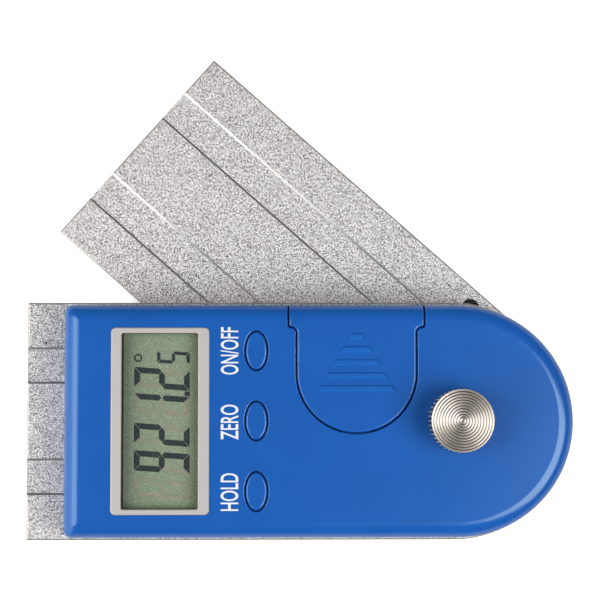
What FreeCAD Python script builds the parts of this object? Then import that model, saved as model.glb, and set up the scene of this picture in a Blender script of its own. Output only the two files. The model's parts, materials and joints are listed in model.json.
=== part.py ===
import FreeCAD, Part
import math
import os
import Sketcher

# Digital angle finder: a fixed arm that carries a case with a display, a moving arm that turns
# beneath it on a central shaft, and a knurled knob that locks the two.
#
# Millimetres. The origin is on the pivot axis at the underside of the moving arm. +Z points out of
# the display, and the fixed arm runs from the pivot towards -X. At rest the moving arm is open by
# arm_angle, clockwise from the fixed arm as the display is looked at.

Vector = FreeCAD.Vector
UP = Vector(0, 0, 1)
TINY_VOLUME = 1e-3  # mm3, less than any real cut takes away
FLAT = 1e-4  # mm, how level an edge must lie to be at a height
ALIKE = 1e-2  # mm, how closely two lengths must agree

doc = FreeCAD.newDocument("angle_finder")
sheet = doc.addObject("Spreadsheet::Sheet", "dims")

# ---------------------------------------------------------------------------------------------
# Driving dimensions: name, value, what it is
# ---------------------------------------------------------------------------------------------

SIZES = (
    ("arm_length", 89.9, "pivot axis to an arm's square end"),
    ("arm_width", 50.0, "width of both arms"),
    ("arm_thick", 5.6, "thickness of both arms"),
    ("arm_edge", 0.4, "rounding of the arms' outer edges"),
    ("arm_gap", 0.52, "space between the arms, which the slip washer fills"),
    ("arm_angle", 41.42, "angle between the arms at rest, degrees"),
    ("groove_inner", 7.85, "arm's centre line to a channel's inner edge"),
    ("groove_rail", 9.46, "arm's long edge to a channel"),
    ("groove_deep", 0.26, "depth of a channel"),
    ("groove_slope", 0.45, "run of a channel's sloping wall"),
    ("tapped_radius", 1.65, "core radius of the tapped holes, M4"),
    ("tapped_along", 12.73, "pivot axis to the tapped holes, along the arm"),
    ("tapped_inset", 3.72, "arm's long edge to a tapped hole's centre"),
    ("tapped_chamfer", 0.22, "lead-in of a tapped hole"),

    ("case_length", 81.15, "pivot axis to the case's square end"),
    ("case_inset", 0.97, "arm's long edge to the case's side"),
    ("case_draft", 1.2, "mould draft of the case walls, degrees"),
    ("case_corner", 1.65, "radius of the case's upright corners"),
    ("case_edge", 3.4, "radius of the case's top edge"),
    ("wall_thick", 1.6, "case side walls"),
    ("tray_floor", 1.4, "floor of the base cover"),
    ("tray_high", 6.0, "base cover, deck to parting line"),
    ("cover_high", 5.88, "top cover, parting line to top"),
    ("roof_thick", 1.6, "roof of the top cover"),
    ("lip_thick", 0.7, "locating lip at the parting line"),
    ("lip_high", 0.8, "height of the locating lip"),
    ("lip_gap", 0.1, "clearance round the locating lip"),
    ("seat_gap", 0.02, "clearance of pieces that seat on each other"),
    ("run_gap", 0.03, "radial clearance of a turning fit"),

    ("post_left", 77.2, "pivot axis back to the left case screws"),
    ("post_left_inset", 3.99, "case's side to the left case screws"),
    ("post_right", 8.0, "pivot axis forward to the right case screws"),
    ("post_right_inset", 5.69, "case's side to the right case screws"),
    ("post_radius", 2.2, "case screw post"),
    ("case_screw_radius", 1.3, "case screw shank"),
    ("case_screw_head", 2.4, "case screw head radius"),
    ("case_screw_long", 13.2, "case screw, head to tip"),
    ("screw_sink", 0.1, "how far a countersunk head lies under its surface"),

    ("bush_radius", 8.5, "bushing barrel"),
    ("bush_flange", 0.6, "bushing flange thickness"),
    ("bush_flange_radius", 10.5, "bushing flange radius"),
    ("journal_radius", 7.0, "shaft journal in the bushing"),
    ("neck_radius", 8.0, "shaft neck in the moving arm"),
    ("hub_radius", 13.0, "shaft flange under the moving arm"),
    ("hub_thick", 1.6, "shaft flange thickness"),
    ("hub_circle", 10.4, "radius of the circle of hub screws"),
    ("hub_screws", 3, "number of hub screws"),
    ("hub_screw_radius", 1.0, "hub screw shank"),
    ("hub_screw_head", 1.9, "hub screw head radius"),
    ("hub_screw_long", 4.6, "hub screw, head to tip"),
    ("slip_radius", 19.0, "outer radius of the slip washer"),
    ("spring_high", 0.5, "disc spring, pressed height"),
    ("spring_thick", 0.25, "disc spring stock"),
    ("spring_radius", 10.2, "disc spring outer radius"),
    ("ring_thick", 0.8, "retaining ring thickness"),
    ("ring_radius", 9.4, "retaining ring outer radius"),
    ("ring_groove", 0.5, "depth of the ring's groove in the shaft"),
    ("ring_opening", 5.0, "opening of the retaining ring"),
    ("hub_opening", 11.6, "radius of the opening in the tray floor"),
    ("thread_radius", 3.0, "threaded end of the shaft, M6"),
    ("thread_short", 0.5, "shaft end to the bottom of the knob's bore"),

    ("board_gap", 0.4, "rotor to board"),
    ("board_thick", 1.2, "circuit board"),
    ("board_left", 74.7, "pivot axis back to the board's end"),
    ("board_inset", 1.89, "case's inner wall to the board"),
    ("board_hole", 6.5, "opening in the board round the shaft"),
    ("board_post_radius", 1.9, "board post"),
    ("board_screw_radius", 0.8, "board screw shank"),
    ("board_screw_head", 1.6, "board screw head radius"),
    ("board_screw_cap", 1.1, "board screw head height"),
    ("board_screw_left", 72.4, "pivot axis back to the left board screws"),
    ("board_screw_mid", 46.6, "pivot axis back to the middle board screws"),
    ("board_screw_inset", 2.2, "board's side to the board screws"),
    ("board_screw_end", 2.0, "board's round end to the right board screw"),
    ("chip_wide", 8.0, "controller package"),
    ("chip_high", 1.3, "controller package height"),
    ("chip_back", 20.0, "pivot axis back to the controller"),
    ("chip_side", 12.5, "centre line to the controller"),
    ("crystal_long", 7.0, "crystal can"),
    ("crystal_radius", 1.4, "crystal can end radius"),
    ("crystal_high", 2.6, "crystal can height"),

    ("rotor_lift", 0.24, "retaining ring to rotor"),
    ("rotor_thick", 1.0, "rotor disc thickness"),
    ("rotor_clear", 0.4, "rotor to the nearest board post"),
    ("rotor_seat", 5.0, "shaft radius inside the rotor"),
    ("rotor_slots", 24, "number of slots in the rotor"),
    ("slot_inner", 10.5, "inner end of a rotor slot"),
    ("slot_rim", 1.2, "rotor's edge to the slots"),
    ("slot_wide", 1.3, "width of a rotor slot"),
    ("collar_radius", 5.5, "rotor collar outer radius"),
    ("collar_high", 2.0, "rotor collar height"),

    ("bezel_middle", 61.22, "pivot axis back to the display's centre"),
    ("window_wide", 15.7, "window across the digits"),
    ("bezel_bar", 2.22, "bezel's bars across the digits"),
    ("bezel_side", 4.915, "case's side to the bezel"),
    ("bezel_round", 1.0, "bezel corner radius"),
    ("bezel_inset", 1.0, "how deep the bezel sits in the top cover"),
    ("bezel_proud", 0.22, "how far the bezel stands out of the top cover"),
    ("bezel_edge", 0.3, "rounding of the bezel's edges"),
    ("bezel_end", 1.115, "bezel's bars along the digits"),
    ("window_shift", 0.08, "window centre, from the bezel's centre towards the square end"),
    ("window_round", 0.4, "window corner radius"),
    ("lens_side", 0.95, "lens past the window, across the digits"),
    ("lens_end", 0.45, "lens past the window, along the digits"),
    ("lens_thick", 0.9, "lens thickness"),
    ("lcd_side", 0.5, "display glass past the lens, across the digits"),
    ("lcd_end", 0.15, "display glass past the lens, along the digits"),
    ("lcd_thick", 2.0, "display glass, both plates"),
    ("lcd_drop", 1.1, "roof to display glass"),
    ("frame_wall", 0.9, "wall of the display's pocket in the top cover"),
    ("frame_deep", 2.7, "depth of that pocket"),
    ("strip_wide", 1.2, "contact strip width"),
    ("strip_inset", 0.9, "display edge to contact strip"),
    ("strip_end", 2.1, "end of the display glass to a contact strip"),

    ("button_back", 41.51, "pivot axis back to the button row"),
    ("button_end", 4.745, "bezel's end to the outer buttons' centres"),
    ("button_long", 3.86, "half a button's length"),
    ("button_wide", 2.16, "half a button's width"),
    ("button_gap", 0.3, "gap round a button"),
    ("button_proud", 0.1, "how far a button stands out of the top cover"),
    ("button_edge", 0.4, "rounding of a button's rim"),
    ("button_rim", 0.22, "rounding of the case round a button"),
    ("button_flange", 0.7, "how far a button's flange reaches under the roof"),
    ("flange_thick", 0.8, "button flange thickness"),
    ("flange_gap", 0.3, "button flange to roof"),
    ("press_travel", 0.4, "button travel"),
    ("press_gap", 0.05, "pressed button to switch plunger"),
    ("stem_radius", 1.2, "button stem"),
    ("switch_wide", 5.4, "switch housing"),
    ("switch_high", 3.1, "switch housing height"),
    ("plunger_high", 0.6, "switch plunger height"),
    ("plunger_radius", 1.6, "switch plunger"),

    ("hatch_middle", 20.92, "pivot axis back to the battery cover's centre line"),
    ("hatch_half", 12.26, "half the battery cover's width, and its nose radius"),
    ("nose_inset", 14.19, "case's side to the centre of the nose"),
    ("hatch_shoulder", 13.92, "half the battery cover's width at the case edge"),
    ("step_inset", 4.73, "case's side to the shoulders' step"),
    ("hatch_round", 0.5, "outer radius of a shoulder's step"),
    ("hatch_gap", 0.28, "gap round the battery cover"),
    ("hatch_edge", 0.45, "rounding of the battery cover's rim"),
    ("hatch_rim", 0.22, "rounding of the case round the battery cover"),
    ("rail_thick", 0.6, "runner thickness"),
    ("rail_reach", 1.0, "how far a runner reaches under the roof"),
    ("rail_root", 1.3, "width of a runner's root"),
    ("rail_gap", 0.3, "runner to roof"),
    ("rail_inset", 2.79, "case's side to a runner's outer end"),
    ("nose_tab", 6.0, "width of the tab at the nose"),
    ("grip_count", 5, "number of grip bars before the point"),
    ("grip_inset", 3.89, "centre of the nose to the first grip bar"),
    ("grip_pitch", 2.68, "bar to bar"),
    ("grip_tall", 1.34, "bar height along Y"),
    ("grip_wide", 16.2, "length of the first bar's lower edge"),
    ("grip_slope", 29.6, "slope of the bar ends from the centre line, degrees"),
    ("grip_proud", 0.25, "how far a bar stands out"),
    ("grip_tip", 0.12, "how far the point stands out"),
    ("grip_draft", 50.0, "draft of a bar's sides, degrees"),

    ("cell_radius", 10.0, "coin cell CR2032"),
    ("cell_thick", 3.2, "coin cell thickness"),
    ("cell_rim", 8.6, "radius of the cell's raised negative face"),
    ("cell_step", 0.3, "height of that face"),
    ("holder_gap", 0.25, "cell to holder"),
    ("holder_wall", 1.2, "holder wall"),
    ("holder_floor", 0.5, "holder floor"),
    ("holder_high", 3.9, "holder height"),
    ("contact_thick", 0.3, "contact stock"),
    ("contact_rise", 0.6, "height of the negative contact"),
    ("contact_wide", 4.0, "contact width"),
    ("contact_reach", 3.0, "foot of the positive contact"),
    ("contact_short", 0.6, "top of the positive contact, below the cell's face"),

    ("knob_radius", 6.5, "knob over the knurl"),
    ("knob_high", 6.9, "knob height"),
    ("knob_edge", 0.35, "chamfer of the knob's ends"),
    ("knob_lift", 0.3, "washer to knob"),
    ("knurl_count", 40, "number of knurl teeth"),
    ("knurl_deep", 0.3, "knurl depth"),
    ("knurl_start", 0.042, "how far outside the knob a knurl notch starts"),
    ("knob_neck", 4.6, "knob neck radius"),
    ("neck_long", 2.0, "knob neck length"),
    ("bore_deep", 5.0, "thread depth above the knob's underside"),
    ("rim_wide", 0.45, "plain rim of the knob's turned face"),
    ("turned_pitch", 0.57, "pitch of the rings turned in the knob's face"),
    ("turned_deep", 0.14, "depth of those rings"),
    ("pivot_hole", 5.2, "hole in the top cover round the knob's neck"),
    ("tube_wall", 1.6, "wall of the tube round that hole"),
    ("tube_deep", 4.4, "length of that tube under the roof"),
    ("washer_thick", 0.6, "washer under the knob"),
    ("washer_radius", 6.0, "that washer's outer radius"),
    ("washer_gap", 0.25, "knob neck to washer"),
)

for row, (alias, size, meaning) in enumerate(SIZES, start=1):
    sheet.set("A%d" % row, alias)
    sheet.set("B%d" % row, str(size))
    sheet.set("C%d" % row, meaning)
    sheet.setAlias("B%d" % row, alias)
doc.recompute()


def mm(size):
    """Value of an expression on the sheet's dimensions."""
    return float(sheet.evalExpression(size))


# Sizes that follow from others, as expressions on the sheet
TAPPED_ACROSS = "(dims.arm_width / 2 - dims.tapped_inset)"  # arm's centre line to a tapped hole
CASE_HALF = "(dims.arm_width / 2 - dims.case_inset)"  # half the case's width, and its end's radius
POST_LEFT_SIDE = f"({CASE_HALF} - dims.post_left_inset)"  # centre line to the left case screws
POST_RIGHT_SIDE = f"({CASE_HALF} - dims.post_right_inset)"  # centre line to the right case screws
BOARD_HALF = f"({CASE_HALF} - dims.wall_thick - dims.board_inset)"  # half the board's width
BOARD_SCREW_SIDE = f"({BOARD_HALF} - dims.board_screw_inset)"  # centre line to the board screws
BOARD_SCREW_RIGHT = f"({BOARD_HALF} - dims.board_screw_end)"  # pivot axis to the right board screw
ROTOR_RADIUS = f"({BOARD_SCREW_RIGHT} - dims.board_post_radius - dims.rotor_clear)"  # rotor disc
SLOT_OUTER = f"({ROTOR_RADIUS} - dims.slot_rim)"  # outer end of a rotor slot
BEZEL_WIDE = "(dims.window_wide + 2 * dims.bezel_bar)"  # bezel across the digits
BEZEL_LONG = f"(2 * ({CASE_HALF} - dims.bezel_side))"  # bezel along the digits
WINDOW_LONG = f"({BEZEL_LONG} - 2 * dims.bezel_end)"  # window along the digits
LENS_WIDE = "(dims.window_wide + 2 * dims.lens_side)"  # lens across the digits
LENS_LONG = f"({WINDOW_LONG} + 2 * dims.lens_end)"  # lens along the digits
LCD_WIDE = f"({LENS_WIDE} + 2 * dims.lcd_side)"  # display glass across the digits
LCD_LONG = f"({LENS_LONG} + 2 * dims.lcd_end)"  # display glass along the digits
STRIP_LONG = f"({LCD_LONG} - 2 * dims.strip_end)"  # contact strip length
BUTTON_PITCH = f"({BEZEL_LONG} / 2 - dims.button_end)"  # button to button
HATCH_NOSE = f"({CASE_HALF} - dims.nose_inset)"  # centre of the nose, along Y
HATCH_STEP = f"({CASE_HALF} - dims.step_inset)"  # where the shoulders end, along Y
RAIL_END = f"({CASE_HALF} - dims.rail_inset)"  # outer end of a runner, along Y
GRIP_FIRST = f"({HATCH_NOSE} - dims.grip_inset)"  # lower edge of the first grip bar, along Y

# Heights of the stack, as expressions on the sheet
FIXED_Z = "(dims.arm_thick + dims.arm_gap)"
DECK_Z = "(2 * dims.arm_thick + dims.arm_gap)"
FLOOR_Z = f"({DECK_Z} + dims.tray_floor)"
SPLIT_Z = f"({DECK_Z} + dims.tray_high)"
TOP_Z = f"({SPLIT_Z} + dims.cover_high)"
ROOF_Z = f"({TOP_Z} - dims.roof_thick)"
SPRING_Z = f"({DECK_Z} + dims.bush_flange + dims.seat_gap)"
RING_Z = f"({SPRING_Z} + dims.spring_high + dims.seat_gap)"
ROTOR_Z = f"({RING_Z} + dims.ring_thick + dims.rotor_lift)"
BOARD_Z = f"({ROTOR_Z} + dims.rotor_thick + dims.board_gap)"
BOARD_TOP = f"({BOARD_Z} + dims.board_thick)"
BEZEL_Z = f"({TOP_Z} - dims.bezel_inset)"
LCD_TOP = f"({ROOF_Z} - dims.lcd_drop)"
CELL_Z = f"({BOARD_TOP} + dims.holder_floor + dims.contact_rise)"
KNOB_Z = f"({TOP_Z} + dims.washer_thick + dims.knob_lift)"
RAIL_TOP = f"({ROOF_Z} - dims.rail_gap)"

CASE_SCREWS = (
    ("-dims.post_left", f"-{POST_LEFT_SIDE}"),
    ("-dims.post_left", POST_LEFT_SIDE),
    ("dims.post_right", f"-{POST_RIGHT_SIDE}"),
    ("dims.post_right", POST_RIGHT_SIDE),
)
BOARD_SCREWS = (
    ("-dims.board_screw_left", f"-{BOARD_SCREW_SIDE}"),
    ("-dims.board_screw_left", BOARD_SCREW_SIDE),
    ("-dims.board_screw_mid", f"-{BOARD_SCREW_SIDE}"),
    ("-dims.board_screw_mid", BOARD_SCREW_SIDE),
    (BOARD_SCREW_RIGHT, "0"),
)
HUB_SCREWS = [
    (f"dims.hub_circle * cos({index} * 360 / dims.hub_screws)",
     f"dims.hub_circle * sin({index} * 360 / dims.hub_screws)")
    for index in range(int(mm("dims.hub_screws")))
]
BUTTONS = (
    ("button_power", BUTTON_PITCH),
    ("button_zero", "0"),
    ("button_hold", f"-{BUTTON_PITCH}"),
)


# ---------------------------------------------------------------------------------------------
# Drawing and feature helpers
# ---------------------------------------------------------------------------------------------

def body(name):
    """A new PartDesign body."""
    item = doc.addObject("PartDesign::Body", name)
    item.Label = name
    return item


def sketch(item, role="XY_Plane", level="0"):
    """A sketch on one of a body's own origin planes, moved along its normal by an expression."""
    plane = [feature for feature in item.Origin.OriginFeatures if feature.Role == role][0]
    plan = item.newObject("Sketcher::SketchObject", item.Name + "_sketch")
    plan.AttachmentSupport = [(plane, "")]
    plan.MapMode = "FlatFace"
    plan.setExpression("AttachmentOffset.Base.z", level)
    return plan


def drive(plan, constraint, size):
    """Add a constraint and bind its value to an expression."""
    index = plan.addConstraint(constraint)
    plan.setExpression("Constraints[%d]" % index, size)


def fix(plan, edge, point, along=None, across=None):
    """Tie a sketch point to the sketch's origin, along its first axis, its second axis or both."""
    if along is not None:
        drive(plan, Sketcher.Constraint("DistanceX", -1, 1, edge, point, mm(along)), along)
    if across is not None:
        drive(plan, Sketcher.Constraint("DistanceY", -1, 1, edge, point, mm(across)), across)


def circle(plan, radius, along="0", across="0"):
    """A circle by its radius and centre."""
    ring = plan.addGeometry(Part.Circle(Vector(mm(along), mm(across), 0), UP, mm(radius)))
    fix(plan, ring, 3, along, across)
    drive(plan, Sketcher.Constraint("Radius", ring, mm(radius)), radius)


def circles(plan, radius, places):
    """Circles of one radius about several centres."""
    for along, across in places:
        circle(plan, radius, along, across)


def outline(plan, corners):
    """A closed outline through corners (x, y).

    A corner (x, y, cx, cy, way) starts an arc about (cx, cy) to the next corner, which runs
    counter-clockwise for way 1 and clockwise for way -1.
    """
    first = plan.GeometryCount
    spots = [Vector(mm(corner[0]), mm(corner[1]), 0) for corner in corners]
    ends = []
    for here, corner in enumerate(corners):
        start, stop = spots[here], spots[(here + 1) % len(spots)]
        if len(corner) == 2:
            plan.addGeometry(Part.LineSegment(start, stop))
            ends.append((1, 2))
            continue
        centre = Vector(mm(corner[2]), mm(corner[3]), 0)
        low, high = (start, stop) if corner[4] > 0 else (stop, start)
        low_turn = math.atan2(low.y - centre.y, low.x - centre.x)
        high_turn = math.atan2(high.y - centre.y, high.x - centre.x)
        if high_turn <= low_turn:
            high_turn += 2 * math.pi
        ring = Part.Circle(centre, UP, (start - centre).Length)
        plan.addGeometry(Part.ArcOfCircle(ring, low_turn, high_turn))
        ends.append((1, 2) if corner[4] > 0 else (2, 1))
    for here, corner in enumerate(corners):
        after = (here + 1) % len(corners)
        plan.addConstraint(Sketcher.Constraint(
            "Coincident", first + here, ends[here][1], first + after, ends[after][0]))
        fix(plan, first + here, ends[here][0], corner[0], corner[1])
        if len(corner) > 2:
            chord = spots[after] - spots[here]
            if abs(chord.x) < abs(chord.y):
                fix(plan, first + here, 3, along=corner[2])
            else:
                fix(plan, first + here, 3, across=corner[3])


def rectangle(plan, left, right, low, high, corner=None):
    """A rectangle by its four sides, with an optional corner radius."""
    if corner is None:
        outline(plan, [(left, low), (right, low), (right, high), (left, high)])
        return
    inner_left, inner_right = f"{left} + {corner}", f"{right} - {corner}"
    inner_low, inner_high = f"{low} + {corner}", f"{high} - {corner}"
    outline(plan, [
        (inner_left, low),
        (inner_right, low, inner_right, inner_low, 1),
        (right, inner_low),
        (right, inner_high, inner_right, inner_high, 1),
        (inner_right, high),
        (inner_left, high, inner_left, inner_high, 1),
        (left, inner_high),
        (left, inner_low, inner_left, inner_low, 1)])


def oval(plan, long_half, wide_half, along, across):
    """An ellipse with its long axis along the sketch's second axis."""
    centre = Vector(mm(along), mm(across), 0)
    ring = plan.addGeometry(Part.Ellipse(
        centre + Vector(0, mm(long_half), 0), centre + Vector(mm(wide_half), 0, 0), centre))
    plan.exposeInternalGeometry(ring)
    long_axis, wide_axis = ring + 1, ring + 2
    fix(plan, ring, 3, along, across)
    plan.addConstraint(Sketcher.Constraint("Vertical", long_axis))
    drive(plan, Sketcher.Constraint("Distance", long_axis, 2 * mm(long_half)), f"2 * ({long_half})")
    drive(plan, Sketcher.Constraint("Distance", wide_axis, 2 * mm(wide_half)), f"2 * ({wide_half})")


def pad(item, plan, length, draft="0", down=False):
    """Raise a sketch along its normal, or lower it, with walls that lean outwards by the draft."""
    new = item.newObject("PartDesign::Pad", item.Name + "_pad")
    new.Profile = plan
    new.setExpression("Length", length)
    new.setExpression("TaperAngle", draft)
    new.Reversed = down
    doc.recompute()
    return new


def cut(item, plan, length, both_ways=False):
    """Cut a sketch out of a body along the sketch's normal, and see that material went."""
    before = item.Shape.Volume
    new = item.newObject("PartDesign::Pocket", item.Name + "_pocket")
    new.Profile = plan
    new.setExpression("Length", length)
    new.Reversed = True
    if both_ways:
        new.SideType = "Symmetric"
    doc.recompute()
    if item.Shape.Volume > before - TINY_VOLUME:
        raise RuntimeError(new.Name + " cuts nothing")
    return new


def edge_names(item, wanted):
    """Names of the edges of a body's shape that pass a test."""
    return ["Edge%d" % (index + 1) for index, edge in enumerate(item.Shape.Edges) if wanted(edge)]


def soften(item, kind, size, wanted):
    """Fillet or chamfer those edges of a body that pass a test."""
    names, base = edge_names(item, wanted), item.Tip
    new = item.newObject("PartDesign::" + kind, item.Name + "_" + kind.lower())
    new.Base = (base, names)
    new.setExpression("Radius" if kind == "Fillet" else "Size", size)
    doc.recompute()
    return new


def repeat(item, feature, plan, count):
    """Repeat a feature round the Z axis of its sketch."""
    new = item.newObject("PartDesign::PolarPattern", item.Name + "_pattern")
    new.Originals = [feature]
    new.Axis = (plan, ["N_Axis"])
    new.Angle = 360
    new.setExpression("Occurrences", count)
    item.Tip = new
    doc.recompute()
    return new


def turned(name, corners):
    """A body of revolution about Z from a half section of (radius, height) corners."""
    item = body(name)
    plan = sketch(item, "XZ_Plane")
    outline(plan, corners)
    new = item.newObject("PartDesign::Revolution", name + "_revolution")
    new.Profile = plan
    new.ReferenceAxis = (plan, ["V_Axis"])
    new.Angle = 360
    doc.recompute()
    return item


def ring_section(inner, outer, low, high):
    """Half section of a plain ring."""
    return [(inner, low), (outer, low), (outer, high), (inner, high)]


def with_arm(item):
    """Turn a body that is drawn for arms in line by the angle of the moving arm."""
    item.setExpression("Placement.Rotation.Angle", "-dims.arm_angle")
    return item


def at_height(edge, height):
    """True for an edge that lies flat at a height."""
    box = edge.BoundBox
    return abs(box.ZMin - height) < FLAT and abs(box.ZMax - height) < FLAT


def upright(edge):
    """True for an edge that rises as high as a case wall does, whatever its lean."""
    return edge.BoundBox.ZLength > mm("dims.cover_high") / 2


def round_edge(edge, radius):
    """True for a whole circle of a radius."""
    return edge.Closed and abs(edge.Length - 2 * math.pi * radius) < ALIKE


# ---------------------------------------------------------------------------------------------
# Arms and pivot
# ---------------------------------------------------------------------------------------------

def arm_blank(name, low):
    """An extruded arm: square end, round pivot end, two shallow channels in each broad face."""
    arm = body(name)
    plan = sketch(arm, level=low)
    outline(plan, [
        ("-dims.arm_length", "-dims.arm_width / 2"),
        ("0", "-dims.arm_width / 2", "0", "0", 1),
        ("0", "dims.arm_width / 2"),
        ("-dims.arm_length", "dims.arm_width / 2")])
    pad(arm, plan, "dims.arm_thick")
    soften(arm, "Fillet", "dims.arm_edge", lambda edge: at_height(edge, mm(low))
           or at_height(edge, mm(f"{low} + dims.arm_thick")))

    section = sketch(arm, "YZ_Plane")
    faces = ((f"{low}", "+"), (f"({low} + dims.arm_thick)", "-"))
    for side in ("", "-"):
        edge = f"{side}dims.groove_inner"
        slope = f"{side}dims.groove_slope"
        far = f"{side}(dims.arm_width / 2 - dims.groove_rail)"
        for face, inwards in faces:
            deep = f"{face} {inwards} dims.groove_deep"
            outline(section, [
                (edge, face), (f"{edge} + {slope}", deep), (f"{far} - {slope}", deep), (far, face)])
    cut(arm, section, "4 * dims.arm_length", both_ways=True)
    return arm


def fixed_arm():
    """Upper arm: bushing bore and the countersunk holes of the case screws."""
    arm = arm_blank("fixed_arm", FIXED_Z)
    holes = sketch(arm, level=FIXED_Z)
    circle(holes, "dims.bush_radius + dims.seat_gap")
    circles(holes, "dims.case_screw_radius + dims.seat_gap", CASE_SCREWS)
    cut(arm, holes, "dims.arm_thick")
    shank = mm("dims.case_screw_radius + dims.seat_gap")
    soften(arm, "Chamfer", "dims.case_screw_head - dims.case_screw_radius + dims.screw_sink",
           lambda edge: round_edge(edge, shank) and at_height(edge, mm(FIXED_Z)))
    return arm


def moving_arm():
    """Lower arm: seat of the shaft's flange, hub screw holes and two tapped accessory holes."""
    arm = arm_blank("moving_arm", "0")
    seat = sketch(arm)
    circle(seat, "dims.hub_radius + dims.seat_gap")
    cut(arm, seat, "dims.hub_thick")

    holes = sketch(arm)
    circle(holes, "dims.neck_radius + dims.seat_gap")
    circles(holes, "dims.tapped_radius", [("-dims.tapped_along", TAPPED_ACROSS),
                                          ("-dims.tapped_along", f"-{TAPPED_ACROSS}")])
    cut(arm, holes, "dims.arm_thick")

    pilots = sketch(arm, level="dims.hub_thick")
    circles(pilots, "dims.hub_screw_radius + dims.seat_gap", HUB_SCREWS)
    cut(arm, pilots, "dims.hub_screw_long + 2 * dims.screw_sink - dims.hub_thick")

    soften(arm, "Chamfer", "dims.tapped_chamfer",
           lambda edge: round_edge(edge, mm("dims.tapped_radius")))
    return with_arm(arm)


def pivot_shaft():
    """Flanged shaft: journal, ring groove, rotor seat and threaded end."""
    shaft_top = f"({KNOB_Z} + dims.bore_deep - dims.thread_short)"
    groove = "dims.journal_radius - dims.ring_groove"
    shaft = turned("pivot_shaft", [
        ("0", "0"),
        ("dims.hub_radius", "0"),
        ("dims.hub_radius", "dims.hub_thick"),
        ("dims.neck_radius", "dims.hub_thick"),
        ("dims.neck_radius", "dims.arm_thick"),
        ("dims.journal_radius", "dims.arm_thick"),
        ("dims.journal_radius", RING_Z),
        (groove, RING_Z),
        (groove, f"{RING_Z} + dims.ring_thick"),
        ("dims.journal_radius", f"{RING_Z} + dims.ring_thick"),
        ("dims.journal_radius", ROTOR_Z),
        ("dims.rotor_seat", ROTOR_Z),
        ("dims.rotor_seat", f"{ROTOR_Z} + dims.rotor_thick"),
        ("dims.thread_radius", f"{ROTOR_Z} + dims.rotor_thick"),
        ("dims.thread_radius", f"{shaft_top} - dims.knob_edge"),
        ("dims.thread_radius - dims.knob_edge", shaft_top),
        ("0", shaft_top)])
    holes = sketch(shaft)
    circles(holes, "dims.hub_screw_radius + dims.seat_gap", HUB_SCREWS)
    cut(shaft, holes, "dims.hub_thick")
    shank = mm("dims.hub_screw_radius + dims.seat_gap")
    soften(shaft, "Chamfer", "dims.hub_screw_head - dims.hub_screw_radius + dims.screw_sink",
           lambda edge: round_edge(edge, shank) and at_height(edge, 0))
    return with_arm(shaft)


def countersunk_screws(name, places, low, radius, head, length):
    """Screws with their heads down: a cone of a head, then the shank."""
    screws = body(name)
    heads = sketch(screws, level=low)
    circles(heads, head, places)
    pad(screws, heads, f"{head} - {radius}", draft="-45")
    shanks = sketch(screws, level=low)
    circles(shanks, radius, places)
    pad(screws, shanks, length)
    return screws


def hub_screws():
    """Screws that hold the shaft's flange to the moving arm."""
    return with_arm(countersunk_screws(
        "hub_screws", HUB_SCREWS, "dims.screw_sink",
        "dims.hub_screw_radius", "dims.hub_screw_head", "dims.hub_screw_long"))


def arm_washer():
    """Slip washer between the two arms."""
    return turned("arm_washer", ring_section(
        "dims.journal_radius + dims.washer_gap", "dims.slip_radius",
        "dims.arm_thick", f"{FIXED_Z} - dims.seat_gap"))


def pivot_bushing():
    """Flanged bushing of the fixed arm."""
    bore = "dims.journal_radius + dims.run_gap"
    return turned("pivot_bushing", [
        (bore, FIXED_Z),
        ("dims.bush_radius", FIXED_Z),
        ("dims.bush_radius", DECK_Z),
        ("dims.bush_flange_radius", DECK_Z),
        ("dims.bush_flange_radius", f"{DECK_Z} + dims.bush_flange"),
        (bore, f"{DECK_Z} + dims.bush_flange")])


def disc_spring():
    """Conical spring washer that takes up the play of the shaft."""
    inner = "dims.journal_radius + dims.washer_gap"
    return turned("disc_spring", [
        (inner, f"{SPRING_Z} + dims.spring_high - dims.spring_thick"),
        ("dims.spring_radius", SPRING_Z),
        ("dims.spring_radius", f"{SPRING_Z} + dims.spring_thick"),
        (inner, f"{SPRING_Z} + dims.spring_high")])


def retaining_ring():
    """Open ring in the shaft's groove."""
    ring = turned("retaining_ring", ring_section(
        "dims.journal_radius - dims.ring_groove + dims.seat_gap", "dims.ring_radius",
        f"{RING_Z} + dims.seat_gap / 2", f"{RING_Z} + dims.ring_thick - dims.seat_gap / 2"))
    opening = sketch(ring, level=RING_Z)
    rectangle(opening, "0", "2 * dims.ring_radius",
              "-dims.ring_opening / 2", "dims.ring_opening / 2")
    cut(ring, opening, "dims.ring_thick")
    return ring


def rotor_disc():
    """Slotted encoder disc on the shaft."""
    disc = turned("rotor_disc", ring_section(
        "dims.rotor_seat + dims.seat_gap", ROTOR_RADIUS,
        ROTOR_Z, f"{ROTOR_Z} + dims.rotor_thick"))
    plan = sketch(disc, level=ROTOR_Z)
    rectangle(plan, "dims.slot_inner", SLOT_OUTER,
              "-dims.slot_wide / 2", "dims.slot_wide / 2")
    slot = cut(disc, plan, "dims.rotor_thick")
    repeat(disc, slot, plan, "dims.rotor_slots")
    return disc


def rotor_collar():
    """Threaded collar that clamps the rotor on its seat."""
    low = f"{ROTOR_Z} + dims.rotor_thick"
    return turned("rotor_collar", ring_section(
        "dims.thread_radius + dims.seat_gap", "dims.collar_radius",
        low, f"{low} + dims.collar_high"))


# ---------------------------------------------------------------------------------------------
# Case
# ---------------------------------------------------------------------------------------------

def case_outline(plan, inset="0"):
    """Plan of the case, or of a wall inside it: square end, round pivot end."""
    half = f"({CASE_HALF} - {inset})"
    back = f"-(dims.case_length - {inset})"
    outline(plan, [(back, f"-{half}"), ("0", f"-{half}", "0", "0", 1), ("0", half), (back, half)])


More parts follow.
